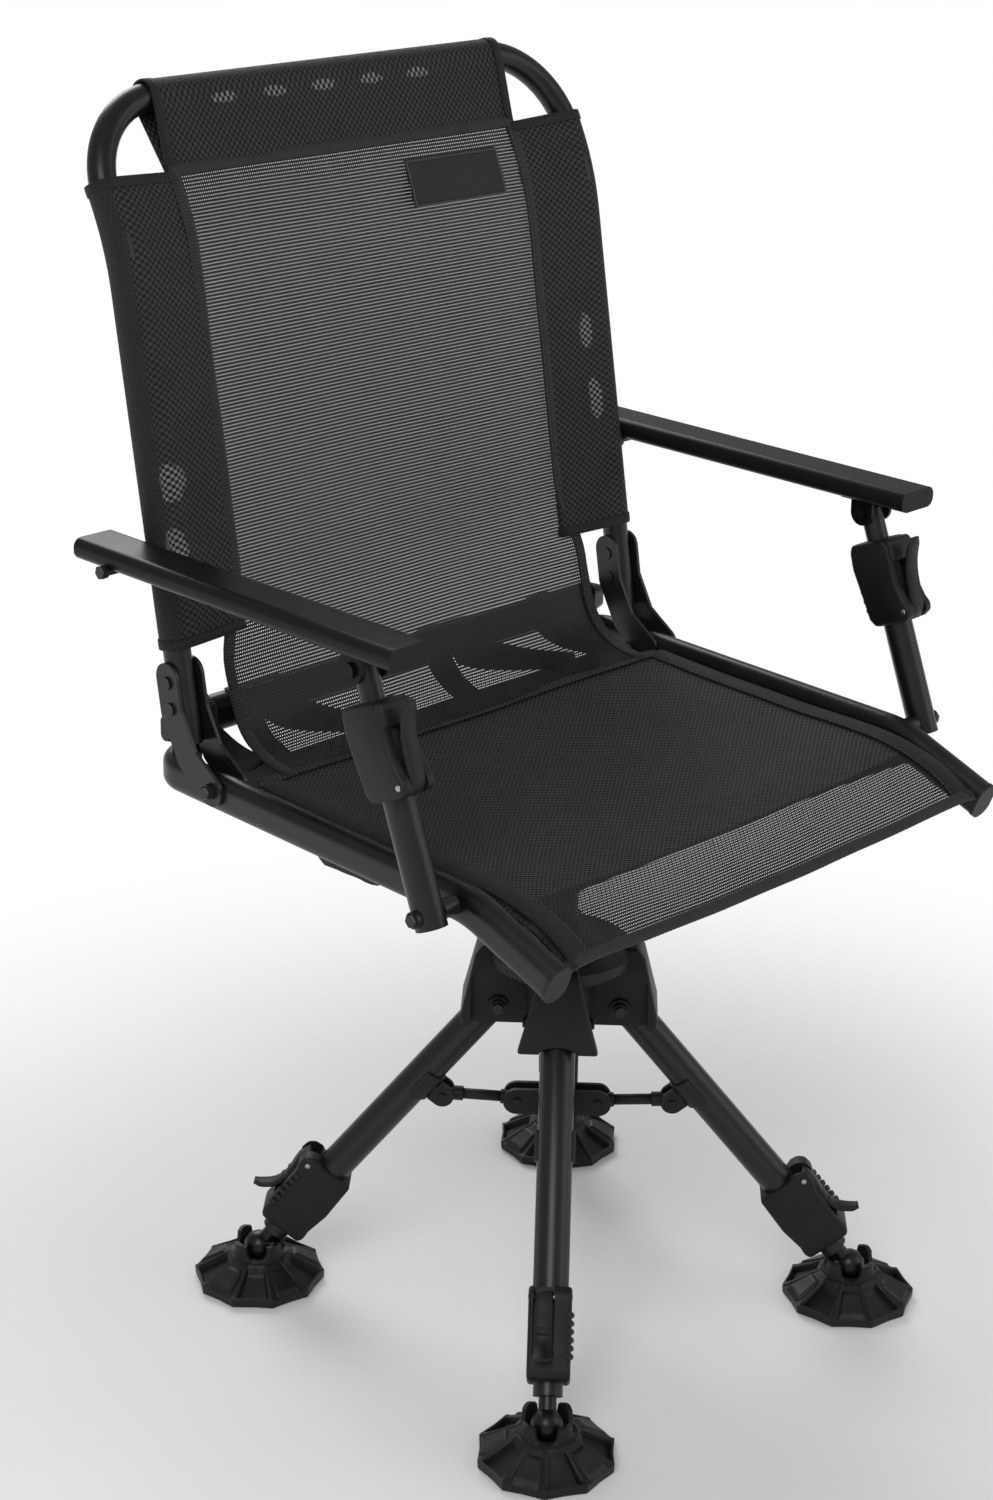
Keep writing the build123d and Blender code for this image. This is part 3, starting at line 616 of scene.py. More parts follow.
# the net runs from the seat's rear edge up the back to the top sleeve
NET_FOOT = [(0.092, 0.4375), (0.106, 0.4388), (0.122, 0.4432), (0.1365, 0.4535), (0.1462, 0.4685),
            (0.1515, 0.4850)]
NET_JOIN = 0.500                 # height where the net meets the back's own line
NET_TOP = BACK_LENGTH - TOP_SLEEVE_DEPTH
NET_CURVE = through([(0, *p) for p in NET_FOOT] + [(0, *back_point(back_at_height(NET_JOIN)))]
                    + [(0, *back_point(d)) for d in steps(back_at_height(NET_JOIN) + 0.03, NET_TOP, 9)],
                    120)
NET_LENGTH = sum((b - a).length for a, b in zip(NET_CURVE, NET_CURVE[1:]))


def net_half_width(z):
    """The cloth between the sleeves; below them its free edges stand further apart."""
    return TUBE_X - SLEEVE_DEPTH + 0.017 * smoothstep(0.565, NET_JOIN, z)


def net_point(u, v):
    """Point of the back's cloth: u across from right to left, v up from the seat."""
    centre = lerp_on(NET_CURVE, v)
    half = net_half_width(centre.z) + 0.002
    across = 2 * u - 1
    hollow = HOLLOW * (1 - across ** 2) * smoothstep(0.0, 0.35, v) * smoothstep(1.0, 0.8, v)
    slack = 0.0022 * noise.noise(Vector((across * 1.8, v * 4.0, 3.7)))
    return Vector((across * half, centre.y + hollow + slack, centre.z - 0.25 * hollow))


def build_back_net():
    cut = (2 * (TUBE_X - SLEEVE_DEPTH) + 0.01, NET_LENGTH)
    obj = net("back_mesh", net_point, cut, (0.0019, 0.0025), (0.00136, 0.00178))
    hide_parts("back_panel", "apron")
    blend_at_hinge(obj)


def blend_at_hinge(obj):
    """Cloth that starts on the seat and ends on the back: bakes its placement into its mesh."""
    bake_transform(obj)


def sleeve_section(depth, wobble):
    """Cloth round a tube, in (inward, forward) from its centre: from the front seam round to the rear."""
    r = TUBE_R + CLOTH_GAP
    lean = atan2(r, depth)

    def flat_side(t, front):
        height = SEAM_HALF * (1 - t) + r * cos(lean) * t + wobble * sin(pi * t)
        return depth * (1 - t) + r * sin(lean) * t, front * height

    points = [flat_side(t, 1) for t in steps(0, 1, 7, False)]
    points += [(-r * cos(a), r * sin(a)) for a in steps(pi / 2 - lean, lean - pi / 2, 15)]
    return points + [flat_side(t, -1) for t in steps(1, 0, 7)[1:]]


def build_sleeve(name, stations, depth, material, seed):
    """A sleeve sewn round the tube: stations are (tube centre, inward, forward) along it."""

    def surface(u, v):
        i, t = spot_on(stations, v)
        centre, inward, forward = (a.lerp(b, t) for a, b in zip(stations[i], stations[i + 1]))
        wobble = 0.0012 * noise.noise(Vector((v * 6.0, seed, 0.0)))
        section = sleeve_section(depth, wobble)
        k, t = spot_on(section, u)
        a, b = (p * (1 - t) + q * t for p, q in zip(section[k], section[k + 1]))
        ripple = 0.0007 * noise.noise(Vector((a * 40, v * 14, seed * 2.0))) * smoothstep(0.0, 0.02, a)
        return centre + inward * a + forward * (b + ripple * (1 if b > 0 else -1))

    length = sum((b[0] - a[0]).length for a, b in zip(stations, stations[1:]))
    cut = (2 * depth + pi * (TUBE_R + CLOTH_GAP), length)
    obj = cloth_grid(name, surface, cut, (56, 72), material, 0.0009)
    place(obj, "back", "mesh_fabric")
    return obj


def side_stations(side):
    low, high = back_at_height(SLEEVE_LOW), back_at_height(SLEEVE_HIGH)
    stations = []
    for distance in steps(low, high, 40):
        centre, _, forward = back_frame_at(distance)
        stations.append((centre + Vector((side * TUBE_X, 0, 0)), Vector((-side, 0, 0)), forward))
    return stations


def top_stations():
    centre, up, forward = back_frame_at(BACK_LENGTH)
    return [(centre + Vector((x, 0, 0)), -up, forward)
            for x in steps(-TOP_SLEEVE_HALF, TOP_SLEEVE_HALF, 30)]


def sleeve_cloth(word, relief, backlight_spots):
    return woven(f"sleeve_weave_{word}", (0.0015, 0.0015, 0.002), (0.034, 0.034, 0.036), 0.0038, 0.0048,
                 relief, backlight_spots)


def build_sleeves():
    # ovals on each side sleeve where light from behind the cloth is painted onto the weave's crossings
    backlight_spots = {"right": [(0.040, 0.068, 0.0085, 0.015), (0.036, 0.112, 0.008, 0.013)],
             "left": [(0.030, 0.100, 0.004, 0.016), (0.028, 0.152, 0.004, 0.014)]}
    for side, word in SIDES:
        cloth = sleeve_cloth(word, 0.0004, backlight_spots[word])
        build_sleeve(f"side_sleeve_{word}", side_stations(side), SLEEVE_DEPTH, cloth, 1.0 + side)
    # the top sleeve's row of ovals, with painted light from behind the cloth
    cloth = sleeve_cloth("top", 0.0006, [(0.030, 0.06 + 0.045 * k, 0.0022, 0.011) for k in range(5)])
    build_sleeve("top_sleeve", top_stations(), TOP_SLEEVE_DEPTH, cloth, 5.0)


def build_bindings():
    """Grosgrain tape over every seam of the back's cloth."""
    last = len(NET_CURVE) - 1
    forward = Vector((0, -1, 0.17)).normalized()
    for side, word in SIDES:
        edge = [net_point(0.5 + side * 0.5, j / last) for j in range(0, last + 1, 2)]
        line = [point + forward * CLOTH_GAP for point in edge]
        seam = [point + forward * 2 * CLOTH_GAP + Vector((-side * 0.0028, 0, 0)) for point in edge]
        for obj in (strip(f"edge_binding_{word}", line, (1, 0, 0), TAPE_W, TAPE_T, BINDING),
                    new_piece(f"edge_stitching_{word}", *stitches(seam), STITCH)):
            blend_at_hinge(obj)
    _, up, forward = back_frame_at(NET_TOP)
    line = [net_point(u, 1.0) + forward * CLOTH_GAP for u in steps(-0.01, 1.01, 40)]
    tape = strip("top_binding", line, up, TAPE_W, TAPE_T, BINDING)
    place(tape, "back", "mesh_fabric")
    build_end_tapes()


def build_end_tapes():
    """Folded hems at the open ends of the sleeves."""
    ends = []
    for side, word in SIDES:
        stations = side_stations(side)
        ends += [(f"sleeve_hem_low_{word}", stations[0], stations[1], SLEEVE_DEPTH),
                 (f"sleeve_hem_high_{word}", stations[-1], stations[-2], SLEEVE_DEPTH)]
    stations = top_stations()
    ends += [("top_hem_right", stations[0], stations[1], TOP_SLEEVE_DEPTH),
             ("top_hem_left", stations[-1], stations[-2], TOP_SLEEVE_DEPTH)]
    for name, (centre, inward, forward), neighbour, depth in ends:
        inside = (neighbour[0] - centre).normalized()
        line = [centre + inside * 0.0035 + inward * a + forward * (b + (SEAM_HALF if b > 0 else -SEAM_HALF))
                for a, b in sleeve_section(depth, 0.0)]
        tape = strip(name, line, inside, 0.0075, 0.0016, HEM)
        place(tape, "back", "mesh_fabric")


def build_patch():
    """Plain woven label patch, with a stitched border and nothing on it."""
    low, high = back_at_height(PATCH_Z[0]), back_at_height(PATCH_Z[1])
    inner, outer = PATCH_X
    frames = [back_frame_at(distance) for distance in steps(low, high, 8)]

    def surface(u, v):
        i, t = spot_on(frames, v)
        x = inner + u * (outer - inner)
        hollow = HOLLOW / 4 * (1 - (x / (TUBE_X - SLEEVE_DEPTH)) ** 2)
        return frames[i][0].lerp(frames[i + 1][0], t) + Vector((x, hollow, 0)) + frames[i][2] * 0.0016

    cut = (outer - inner, high - low)
    obj = cloth_grid("plain_patch", surface, cut, (24, 10), PATCH, 0.0014)
    place(obj, "back", "mesh_fabric")
    rim = [surface(u, v) + Vector((0, -0.0008, 0)) for u, v in
           [(0.012, 0.03), (0.5, 0.03), (0.988, 0.03), (0.988, 0.5), (0.988, 0.97), (0.5, 0.97),
            (0.012, 0.97), (0.012, 0.5), (0.012, 0.03)]]
    parts = [pipe([a, (a + b) / 2, b], 0.0008, 8) for a, b in zip(rim, rim[1:])]
    border = new_piece("patch_border", *joined(parts), PATCH_EDGE)
    border.data.uv_layers.new(name="cut")
    place(border, "back", "mesh_fabric")


# ---------------------------------------------------------------- seat cloth
SEAT_LINE = through([(0, -0.2040, 0.4035), (0, -0.1890, 0.4145), (0, -0.1660, 0.4245),
                     (0, -0.128, 0.4318), (0, -0.06, 0.4332), (0, 0.0, 0.4342), (0, 0.06, 0.4355),
                     (0, SEAT_REAR_Y + 0.002, 0.4370)], 80)
SEAT_LENGTH = sum((b - a).length for a, b in zip(SEAT_LINE, SEAT_LINE[1:]))
BAND_END = 0.165                # share of the seat's length that has only the open mesh


def seat_point(u, v, drop=0.0):
    """Point of the seat's cloth: u across from right to left, v back from the front edge."""
    centre = lerp_on(SEAT_LINE, v)
    across = 2 * u - 1
    sag = SEAT_SAG * (1 - across ** 2) * sin(pi * min(1.0, 0.12 + 0.88 * v)) ** 0.7
    slack = 0.0009 * noise.noise(Vector((across * 3, v * 5, 1.3)))
    edge = 0.004 * abs(across) ** 14
    return Vector((across * SEAT_HALF, centre.y, centre.z - sag + slack - edge - drop))


def build_seat():
    cut = (2 * SEAT_HALF, SEAT_LENGTH)
    band = (cut[0], SEAT_LENGTH * (BAND_END + 0.03))
    front = net("seat_front_mesh", lambda u, v: seat_point(u, v * (BAND_END + 0.03)), band,
                (0.0019, 0.0023), (0.00128, 0.00155))
    place(front, "seat", "sling_fabric")

    def lined(u, v):
        edge = 0.022 * (1 - (2 * u - 1) ** 2) ** 0.5 - 0.012
        start = BAND_END + edge / SEAT_LENGTH
        return seat_point(u, start + v * (1 - start), 0.0007)

    obj = cloth_grid("seat_cloth", lined, (cut[0], SEAT_LENGTH * (1 - BAND_END)), (90, 70), SEAT_CLOTH,
                     0.0012)
    place(obj, "seat", "sling_fabric", "seat_sling")
    build_seat_hems()


def build_seat_hems():
    lift = Vector((0, 0, 0.0011))
    for side, word in SIDES:
        u = 0.5 + side * 0.469
        line = [seat_point(u, v) + lift for v in steps(0.0, 0.985, 60)]
        tape = strip(f"seat_side_hem_{word}", line, (1, 0, 0), 0.0180, 0.0018, HEM)
        place(tape, "seat", "sling_fabric")
        seam = [p + Vector((-side * 0.0085, 0, 0.0010)) for p in line]
        place(new_piece(f"seat_side_stitching_{word}", *stitches(seam), STITCH), "seat", "sling_fabric")
    front = [seat_point(u, 0.014) + Vector((0, -0.0004, 0.0009)) for u in steps(0.0, 1.0, 50)]
    tape = strip("seat_front_hem", front, (0, 0.8, 0.6), 0.0085, TAPE_T, BINDING)
    place(tape, "seat", "sling_fabric")
    rear = [seat_point(u, 0.985) + Vector((0, 0, 0.0012)) for u in steps(0.02, 0.98, 50)]
    tape = strip("seat_rear_seam", rear, (0, 1, 0), 0.012, 0.0008, SEAT_CLOTH)
    place(tape, "seat", "sling_fabric")


def build_under_panel():
    """Lining under the sling, which sags into a pocket beside each rail."""
    y_rear, y_front = 0.138, -0.092

    def surface(u, v):
        across = 2 * u - 1
        y = y_rear + v * (y_front - y_rear)
        z = 0.4290 - 0.0065 * smoothstep(0.0, 0.35, v) + 0.003 * smoothstep(0.7, 1.0, v)
        pocket = smoothstep(0.80, 0.93, abs(across)) * smoothstep(1.0, 0.97, abs(across))
        along = smoothstep(0.36, 0.48, v) * smoothstep(0.78, 0.66, v)
        crease = 0.003 * noise.noise(Vector((across * 5, v * 9, 8.1)))
        sag = LINING_SAG * (1 - across ** 2) * smoothstep(0.0, 0.2, v)
        return Vector((across * 0.2055, y, z - sag - 0.027 * pocket * along + crease * along * pocket))

    cut = (0.411, y_rear - y_front)
    obj = cloth_grid("under_seat_lining", surface, cut, (80, 40), HEM, 0.0012)
    place(obj, "seat", "sling_fabric", "under_panel")
    stop = (0.1650, 0.4600)
    straps = [(-0.150, -0.150), (0.035, 0.035), (-0.125, -0.05), (0.06, 0.15), (0.150, 0.185), (-0.19, -0.17)]
    for k, (x_top, x_low) in enumerate(straps):
        line = through([(x_top, stop[0] + 0.012, stop[1] + 0.0128), (x_top, stop[0] + 0.001, stop[1] + 0.006),
                        (x_top, stop[0] - 0.0005, stop[1] - 0.008), ((x_top + x_low) / 2, 0.153, 0.438),
                        (x_low, y_rear - 0.006, 0.4293)], 14)
        tape = strip(f"lining_strap_{k + 1}", line, (1, 0, 0), 0.025, 0.0016, BINDING)
        place(tape, "seat", "sling_fabric")


# ---------------------------------------------------------------- moulded and machined details
def leg_matrix(angle):
    """Leg pieces are drawn hanging down -Z from their pivot, outer side +X, then leaned out."""
    lean = Matrix.Rotation(-LEG_LEAN, 4, "Y")
    return around(angle) @ Matrix.Translation((LEG_PIVOT_R, 0, LEG_PIVOT_Z)) @ lean


def strut_matrix(side):
    """Clamp pieces are drawn like a leg's, with the lever's side +X turned to the chair's front."""
    lean = atan2(STRUT_TOP[0] - STRUT_LOW[0], STRUT_TOP[1] - STRUT_LOW[1])
    to_front = Matrix.Rotation(-pi / 2, 4, "Z")
    return (Matrix.Translation((side * ARM_X, *STRUT_TOP)) @ Matrix.Rotation(-lean, 4, "X") @ to_front)


def polygon_radius(angle, corners):
    """Radius of a many-sided outline given by its corners' radii, evenly spaced."""
    count = len(corners)
    share = (angle / (2 * pi) * count) % count
    i = int(share)
    a, b = 2 * pi * i / count, 2 * pi * (i + 1) / count
    px, py = corners[i] * cos(a), corners[i] * sin(a)
    ex, ey = corners[(i + 1) % count] * cos(b) - px, corners[(i + 1) % count] * sin(b) - py
    return (px * ey - py * ex) / (cos(angle) * ey - sin(angle) * ex)


def foot_height(r, angle, rim):
    """Top surface of the mud foot: a cone with sunk pockets and raised facets by turns."""
    cup = 0.0205
    t = min(max((rim - r) / (rim - cup), 0.0), 1.0)
    base = 0.0075 + 0.0155 * t ** 1.15
    sector = (angle / (2 * pi) * FOOT_LOBES) % 1.0
    off_centre = abs(sector - 0.5) * 2
    pocket = (int(angle / (2 * pi) * FOOT_LOBES) % 2) == 0
    reach = smoothstep(0.86, 0.74, off_centre) * smoothstep(0.06, 0.14, t) * smoothstep(0.90, 0.82, t)
    if pocket:
        return base - 0.0052 * reach
    facet = smoothstep(0.72, 0.60, off_centre) * smoothstep(0.02, 0.12, t) * smoothstep(0.80, 0.66, t)
    return base + 0.0016 * facet - 0.0010 * smoothstep(0.95, 0.8, off_centre) * (1 - facet)


def foot_dish():
    """Verts and faces of the ribbed dish, closed underneath by a shallow recess with a tread ring."""
    corners = [FOOT_R if i % 2 == 0 else FOOT_R - 0.0032 for i in range(2 * FOOT_LOBES)]
    angles = steps(0, 2 * pi, 240, False)
    rims = [polygon_radius(angle, corners) for angle in angles]
    socket, bore, radial = 0.0150, 0.0118, 26

    def ring(radii, heights):
        return [Vector((r * cos(a), r * sin(a), z)) for r, a, z in zip(radii, angles, heights)]

    rings = []
    for j in range(radial + 1):
        radii = [socket + (rim - socket) * j / radial for rim in rims]
        rings.append(ring(radii, [foot_height(r, a, rim) for r, a, rim in zip(radii, angles, rims)]))
    underside = [(1.0, 0.0052), (0.992, 0.0008), (0.97, 0.0), (0.80, 0.0), (0.78, 0.0018), (0.60, 0.0018),
                 (0.58, 0.0), (0.42, 0.0), (0.40, 0.0022), (0.30, 0.0022)]
    rings += [ring([rim * share for rim in rims], [z] * len(rims)) for share, z in underside]
    rings.append(ring([bore] * len(rims), [0.0060] * len(rims)))
    return solid(loft(rings, loop=True))


def foot_cup():
    """Thin socket wall round the ball, with a U slot on each of its four sides."""
    slots, half_slot = 4, 0.56
    wall, slot_floor = 0.0345, 0.0235
    rings = [[] for _ in range(6)]
    for angle in steps(0, 2 * pi, 192, False):
        from_slot = abs(((angle / (2 * pi) * slots) + 0.5) % 1.0 - 0.5) / 0.5
        flare = 0.0006 * cos(8 * angle)
        top = wall + flare
        if from_slot < half_slot:
            top = slot_floor + (top - slot_floor) * (1 - sqrt(1 - (from_slot / half_slot) ** 4))
        profile = [(0.0212, 0.0150), (0.0205 + flare, min(top, 0.024)), (0.0196 + flare, top),
                   (0.0168 + flare, top), (0.0152, min(top, 0.024)), (0.0145, 0.0140)]
        for ring, (r, z) in zip(rings, profile):
            ring.append(Vector((r * cos(angle), r * sin(angle), z)))
    return solid(loft(rings, loop=True))


def foot_seat():
    """Bowl that the ball turns in."""
    profile = [(0.0002, 0.0125), (0.0060, 0.0133), (0.0105, 0.0165), (0.0128, 0.0215), (0.0152, 0.0215),
               (0.0150, 0.0130), (0.0119, 0.0062), (0.0002, 0.0062)]
    return lathe(profile, 64)


def build_feet():
    parts = joined([foot_dish(), foot_cup(), foot_seat()])
    for name, angle in LEG_ANGLES.items():
        matrix = around(angle) @ Matrix.Translation((BALL_FROM_AXIS, 0, 0))
        foot = new_piece(f"ribbed_foot_{name}", *moved(parts, matrix), FOOT_PLASTIC)
        sharpen(foot, 32)
        place(foot, f"mud_foot_{name}", "moulded_black", f"mud_foot_{name}")


def blade(name, line, widths, half, material, ridges=()):
    """Cam lever: a curved blade along (x, z) points, a half width across Y, thicker where ridges are."""
    points = through([(x, 0, z) for x, z in line], 40)
    rings = []
    for i, point in enumerate(points):
        share = i / (len(points) - 1)
        along = heading(points, i)
        side = Vector((-along.z, 0, along.x))
        k, t = spot_on(widths, share)
        thick = widths[k] + (widths[k + 1] - widths[k]) * t
        bump = sum(0.0011 * max(0.0, 1 - abs(share - r) / 0.035) for r in ridges)
        tail = 1.0 - 0.25 * smoothstep(0.9, 1.0, share)
        h, t, soft = half * tail, thick / 2, 0.0012
        ring = [(-t, -h + soft), (-t + soft, -h), (t + bump - soft, -h), (t + bump, -h + soft),
                (t + bump, h - soft), (t + bump - soft, h), (-t + soft, h), (-t, h - soft)]
        rings.append([point + side * a + Vector((0, b, 0)) for a, b in ring])
    return new_piece(name, *solid(loft(rings)), material)


def clamp_housing(name, outline, half, bores, channel, ribs, material):
    """Clamp body: rounded block with tube bores, a lever channel and a ribbed cheek beside it.

    channel is (outline, low, high) along Y, bores are (low, high, radius) along Z, ribs are (x, z)."""
    body = prism(name, outline, -half, half, material)
    round_edges(body, 0.0032, 3)
    applied(body)
    combine(body, prism("cutter", *channel, material), "DIFFERENCE")
    for low, high, radius in bores:
        cylinder = lathe([(0.00001, low), (radius, low), (radius, high), (0.00001, high)], 40)
        combine(body, new_piece("cutter", *solid(cylinder), material), "DIFFERENCE")
    parts = [mesh_of(body)]
    for x, z in ribs:
        line = [(x - 0.0042, half - 0.0022, z), (x - 0.001, half - 0.0004, z), (x + 0.0028, half - 0.0016, z)]
        parts.append(solid(pipe(line, 0.0024, 12)))
    remove(body)
    return sharpen(new_piece(name, *joined(parts), material), 34)


def pin(name, centre, reach, radius):
    """Bright rivet through a lever's boss, along Y."""
    x, z = centre
    profile = [(-reach, radius * 0.7), (-reach + 0.0005, radius), (reach - 0.0005, radius),
               (reach, radius * 0.7)]
    rings = [[Vector((x + r * cos(a), y, z + r * sin(a))) for a in steps(0, 2 * pi, 20, False)]
             for y, r in profile]
    return new_piece(name, *solid(loft(rings)), PIN_STEEL)


def place_clamp(sources, names, matrix, tube_body, lever_body, housing_node):
    """A clamp's housing, lever and pin, copied to their place. The lever's body and node share a name."""
    housing, lever, bolt = [copied(source, name, matrix) for source, name in zip(sources, names)]
    place(housing, tube_body, "moulded_black", housing_node)
    place(lever, lever_body, "moulded_black", lever_body)
    place(bolt, tube_body, "moulded_black")


def build_leg_locks():
    outline = mm([(-17, -190), (9, -190), (14, -188), (20, -188.5), (24.5, -192.5), (25, -199), (22, -207),
                  (20.5, -232), (21, -247), (18, -252), (-16, -252), (-18, -247), (-17, -240), (-19, -221)])
    channel = (mm([(12.6, -180), (30, -180), (30, -236), (14.5, -236)]), -0.0118, 0.0030)
    bores = [(-0.205, -0.186, 0.0127), (-0.256, -0.186, 0.0106)]
    ribs = mm([(19.5, -208 - 5.6 * k) for k in range(6)])
    body = clamp_housing("lock", outline, 0.015, bores, channel, ribs, PLASTIC)
    line = mm([(19.2, -193.5), (21.2, -198.5), (21.8, -209), (21, -221), (24, -231), (31, -238.5),
               (36.5, -241)])
    lever = blade("lever", line, (0.0060, 0.0072, 0.0044, 0.0040, 0.0036, 0.0032, 0.0024), 0.0064,
                  PLASTIC, (0.42, 0.56))
    bolt = pin("pin", (0.019, -0.196), 0.0154, 0.0021)
    lever.data.transform(Matrix.Translation((0, -0.0044, 0)))
    for name, angle in LEG_ANGLES.items():
        names = (f"lock_housing_{name}", f"lock_lever_{name}", f"lock_pin_{name}")
        place_clamp((body, lever, bolt), names, leg_matrix(angle), f"leg_{name}", f"leg_lever_{name}",
                    f"leg_lock_{name}")
    remove(body, lever, bolt)


def build_strut_clamps():
    outline = mm([(-16, -22), (14, -22), (18, -28), (17.5, -56), (21, -69), (24, -74), (23.5, -80), (18, -83),
                  (9, -84), (-11, -84), (-15, -78), (-17, -60), (-19.5, -40), (-18.5, -28)])
    channel = (mm([(11.5, -40), (30, -30), (30, -84), (10.5, -84)]), -0.0070, 0.0070)
    bores = [(-0.0735, -0.020, 0.0083), (-0.090, -0.072, 0.0107)]
    body = clamp_housing("clamp", outline, 0.014, bores, channel, [], PLASTIC)
    parts = [mesh_of(body)]
    for k in range(6):
        x, z = -0.0180 + 0.0006 * k, -0.0365 - 0.0070 * k
        parts.append(solid(pipe([(x, -0.0110, z), (x - 0.0012, 0, z), (x, 0.0110, z)], 0.0022, 12)))
    block_outline = mm([(8, -22.5), (19, -22.5), (21, -27), (19.5, -38), (10, -42)])
    block = prism("block", block_outline, -0.0128, 0.0128, PLASTIC)
    applied(round_edges(block, 0.0025, 3))
    parts.append(mesh_of(block))
    shape = sharpen(new_piece("clamp_shape", *joined(parts), PLASTIC), 34)
    line = mm([(15, -81), (19.5, -76), (22, -64), (23.5, -50), (27, -38), (32, -29), (33.5, -25.5)])
    lever = blade("lever", line, (0.0064, 0.0070, 0.0046, 0.0042, 0.0038, 0.0034, 0.0024), 0.0062,
                  PLASTIC, (0.45, 0.6))
    bolt = pin("pin", (0.0185, -0.076), 0.0145, 0.0022)
    for side, word in SIDES:
        names = (f"clamp_housing_{word}", f"clamp_lever_{word}", f"clamp_pin_{word}")
        place_clamp((shape, lever, bolt), names, strut_matrix(side), f"strut_lower_{word}",
                    f"strut_lever_{word}", f"strut_clamp_{word}")
    remove(body, block, shape, lever, bolt)


def hub_arm():
    """One of the hub's four arms, along +X: a hollow wedge that widens downward, recessed on both sides."""
    outline = mm([(0, 229), (56, 229), (70, 229.5), (71.2, 237), (61, 281), (55, 288), (31.5, 288),
                  (31.5, 283), (0, 283)])
    arm = prism("arm", outline, -0.030, 0.030, PLASTIC)
    for vert in arm.data.vertices:
        vert.co.y *= (0.0135 + 0.0155 * (0.288 - vert.co.z) / 0.059) / 0.030
    applied(round_edges(arm, 0.0050, 5))
    recess = mm([(-40, 190), (63.5, 190), (63.5, 262)]) + [
        (0.0555 + 0.008 * cos(a), 0.262 + 0.010 * sin(a)) for a in steps(0, pi / 2, 7)[1:]] + mm([(-40, 272)])
    for low, high in ((0.0174, 0.06), (-0.06, -0.0174)):
        combine(arm, prism("recess", recess, low, high, PLASTIC), "DIFFERENCE")
    pocket = mm([(27, 180), (65, 180), (67, 233), (66.5, 240), (60, 262), (27, 262)])
    combine(arm, prism("pocket", pocket, -0.0136, 0.0136, PLASTIC), "DIFFERENCE")
    arch = [(-0.0132, 0.200), (0.0132, 0.200), (0.0132, 0.230)]
    arch += [(0.0132 * cos(a), 0.230 + 0.007 * sin(a)) for a in steps(0, pi, 11)[1:]]
    tunnel = prism("tunnel", arch, 0.060, 0.090, PLASTIC)
    tunnel.data.transform(Matrix.Rotation(-pi / 2, 4, "Z"))
    combine(arm, tunnel, "DIFFERENCE")
    boss = [(LEG_PIVOT_R + 0.0075 * cos(a), LEG_PIVOT_Z + 0.0075 * sin(a))
            for a in steps(0, 2 * pi, 28, False)]
    for low, high in ((0.0160, 0.0200), (-0.0200, -0.0160)):
        combine(arm, prism("boss", boss, low, high, PLASTIC), "UNION")
    return arm


def build_hub():
    """Four arms and the roof that joins them; ribs stand round the bearing's collar."""
    arm = hub_arm()
    core = [(0.00001, 0.2240), (0.0270, 0.2240), (0.0295, 0.2290), (0.0300, 0.2560), (0.0330, 0.2640),
            (0.0400, 0.2690), (0.0470, 0.2710), (0.0520, 0.2750), (0.0525, 0.2830), (0.0490, 0.2872),
            (0.0330, 0.2880), (0.0325, 0.2830), (0.00001, 0.2830)]
    parts = [moved(mesh_of(arm), around(angle)) for angle in LEG_ANGLES.values()]
    parts.append(solid(lathe(core, 72)))
    remove(arm)
    hub = sharpen(new_piece("hub_shell", *joined(parts), PLASTIC), 34)
    place(hub, "base", "moulded_black", "hub")
    ribs = []
    for a in steps(0, 2 * pi, 36, False):
        line = [(r * cos(a), r * sin(a), z) for r, z in ((0.0303, 0.2842), (0.0311, 0.287), (0.0303, 0.2902))]
        ribs.append(solid(pipe(line, 0.0014, 8)))
    place(new_piece("collar_ribs", *joined(ribs), PLASTIC), "base", "moulded_black")


def hex_head(centre, axis, across_flats, height):
    """Verts and faces of a chamfered hexagon head standing on centre along axis."""
    axis = Vector(axis).normalized()
    side = axis.orthogonal().normalized()
    other = axis.cross(side)
    corner = across_flats / sqrt(3)
    rings = []
    for share, reach in ((1.0, 0.0), (1.0, 0.72), (0.86, 1.0)):
        middle, radius = Vector(centre) + axis * height * reach, corner * share
        rings.append([middle + radius * (cos(a) * side + sin(a) * other) for a in steps(0, 2 * pi, 6, False)])
    return solid(loft(rings))


def place_heads(name, heads, body):
    place(sharpen(new_piece(name, *joined(heads), DARK_STEEL), 20), body, "fastener_black")


def build_fastener_heads():
    """Hexagon heads on the visible bolts."""
    base_heads, seat_heads = [], []
    for angle in LEG_ANGLES.values():
        turn = around(angle)
        for side in (-1, 1):
            centre = turn @ Vector((LEG_PIVOT_R, side * HUB_BOLT_Y, LEG_PIVOT_Z))
            base_heads.append(hex_head(centre, turn.to_3x3() @ Vector((0, side, 0)), 0.008, 0.0032))
    place_heads("leg_bolt_heads", base_heads, "base")
    for side in (-1, 1):
        frame_out = side * (TUBE_X + TUBE_R + HINGE_PLATE + BOLT_HEAD)
        seat_heads.append(hex_head((frame_out, *FRAME_BOLT), (side, 0, 0), 0.0085, 0.0030))
        strut_out = side * (ARM_X + STRUT_R + BOLT_HEAD)
        seat_heads.append(hex_head((strut_out, *STRUT_LOW), (side, 0, 0), 0.0085, 0.0026))
    place_heads("frame_bolt_heads", seat_heads, "seat")
    for side, word in SIDES:
        head = hex_head((side * (ARM_X + ARM_BOLT_OUT), *ARM_PIVOT), (side, 0, 0), 0.0085, 0.0026)
        place_heads(f"arm_bolt_head_{word}", [head], f"arm_pivot_{word}")


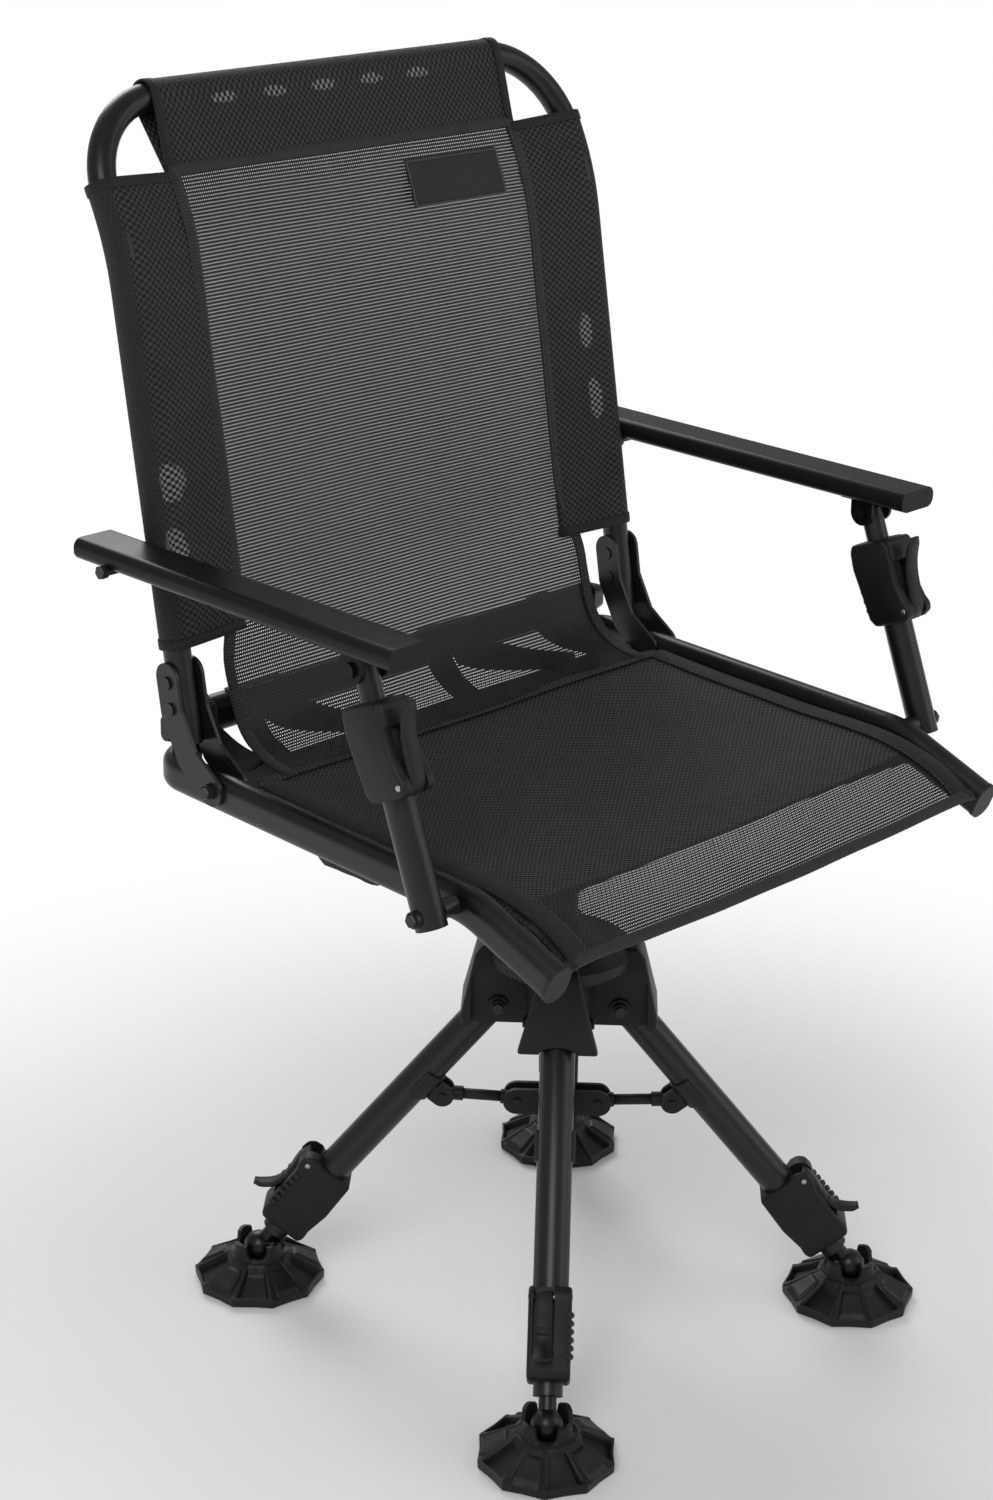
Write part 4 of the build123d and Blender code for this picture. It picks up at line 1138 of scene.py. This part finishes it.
def build_brace_collars():
    """Pressed collars near both ends of each brace."""
    inner = Vector(BRACE_INNER)
    along = (Vector(BRACE_OUTER) - inner).normalized()
    parts = [pipe([inner + along * d for d in (0.0075, 0.027, 0.0470)], 0.0040, 18)]
    for near, far in ((0.0075, 0.0120), (0.0395, 0.0470)):
        line = [inner + along * d for d in (near, near + 0.0006, far - 0.0006, far)]
        parts.append(solid(pipe(line, 0.0054, 18)))
    for name, angle in LEG_ANGLES.items():
        collars = new_piece(f"brace_collars_{name}", *moved(joined(parts), around(angle)), PLASTIC)
        place(collars, f"brace_{name}", "moulded_black")


# ---------------------------------------------------------------- camera, light and floor
def build_stage():
    camera_data = bpy.data.cameras.new("camera")
    camera = bpy.data.objects.new("camera", camera_data)
    bpy.context.scene.collection.objects.link(camera)
    azimuth, elevation, roll, distance = radians(-45.154), radians(21.306), radians(0.872), 2.03996
    right = Vector((cos(azimuth), sin(azimuth), 0))
    back = Vector((sin(azimuth) * cos(elevation), -cos(azimuth) * cos(elevation), sin(elevation)))
    up = back.cross(right)
    target = right * -0.04852 + Vector((0, 0, 0.43354))
    side = right * cos(roll) + up * sin(roll)
    top = up * cos(roll) - right * sin(roll)
    turn = Matrix((side, top, back)).transposed().to_4x4()
    camera.matrix_world = Matrix.Translation(target + back * distance) @ turn
    camera_data.sensor_width, camera_data.lens = 36.0, 69.743
    bpy.context.scene.camera = camera

    bpy.context.scene.view_settings.view_transform = "Standard"
    world = bpy.data.worlds.new("studio")
    world.use_nodes = True
    tree = world.node_tree
    sky = tree.nodes["Background"]
    sky.inputs["Strength"].default_value = 1.0
    seen = add_node(tree, "ShaderNodeLightPath").outputs["Is Camera Ray"]
    tree.links.new(mixed(tree, seen, (0.40, 0.40, 0.41, 1), (1, 1, 1, 1)), sky.inputs["Color"])
    bpy.context.scene.world = world
    for name, spot, aim, size, power in (
            ("key", (-1.9, -1.2, 2.4), (0, 0, 0.5), 1.6, 34),
            ("fill", (1.6, -2.0, 1.4), (0, 0, 0.4), 1.8, 12),
            ("rim", (0.9, 1.9, 1.9), (0, 0, 0.6), 1.4, 26)):
        lamp = bpy.data.lights.new(name, "AREA")
        lamp.energy, lamp.size = power, size
        obj = bpy.data.objects.new(name, lamp)
        obj.location = spot
        obj.rotation_euler = (Vector(spot) - Vector(aim)).to_track_quat("Z", "Y").to_euler()
        bpy.context.scene.collection.objects.link(obj)

    material, tree, shader = new_material("pale_floor", (0.86, 0.86, 0.86), 0.7)
    where = object_place(tree)
    varied(tree, shader, where, (0.84, 0.84, 0.84), (0.88, 0.88, 0.88), 3.0, (0.6, 0.75))
    from_chair = add_node(tree, "ShaderNodeVectorMath", {0: where}, operation="LENGTH").outputs["Value"]
    fade = add_node(tree, "ShaderNodeMapRange", {"Value": from_chair, "From Min": 0.3, "From Max": 0.9},
                    interpolation_type="SMOOTHSTEP")
    white = add_node(tree, "ShaderNodeEmission", {"Color": (1, 1, 1, 1), "Strength": 1.0})
    both = add_node(tree, "ShaderNodeMixShader", {0: fade.outputs[0], 1: shader.outputs[0],
                                                  2: white.outputs[0]})
    tree.links.new(both.outputs[0], tree.nodes["Material Output"].inputs["Surface"])
    floor = new_piece("floor", [(-8, -8, 0), (8, -8, 0), (8, 8, 0), (-8, 8, 0)], [(0, 1, 2, 3)], material)


build_stage()
paint_cad_nodes()
build_back_net()
build_sleeves()
build_bindings()
build_patch()
build_seat()
build_under_panel()
build_feet()
build_leg_locks()
build_strut_clamps()
build_hub()
build_fastener_heads()
build_brace_collars()
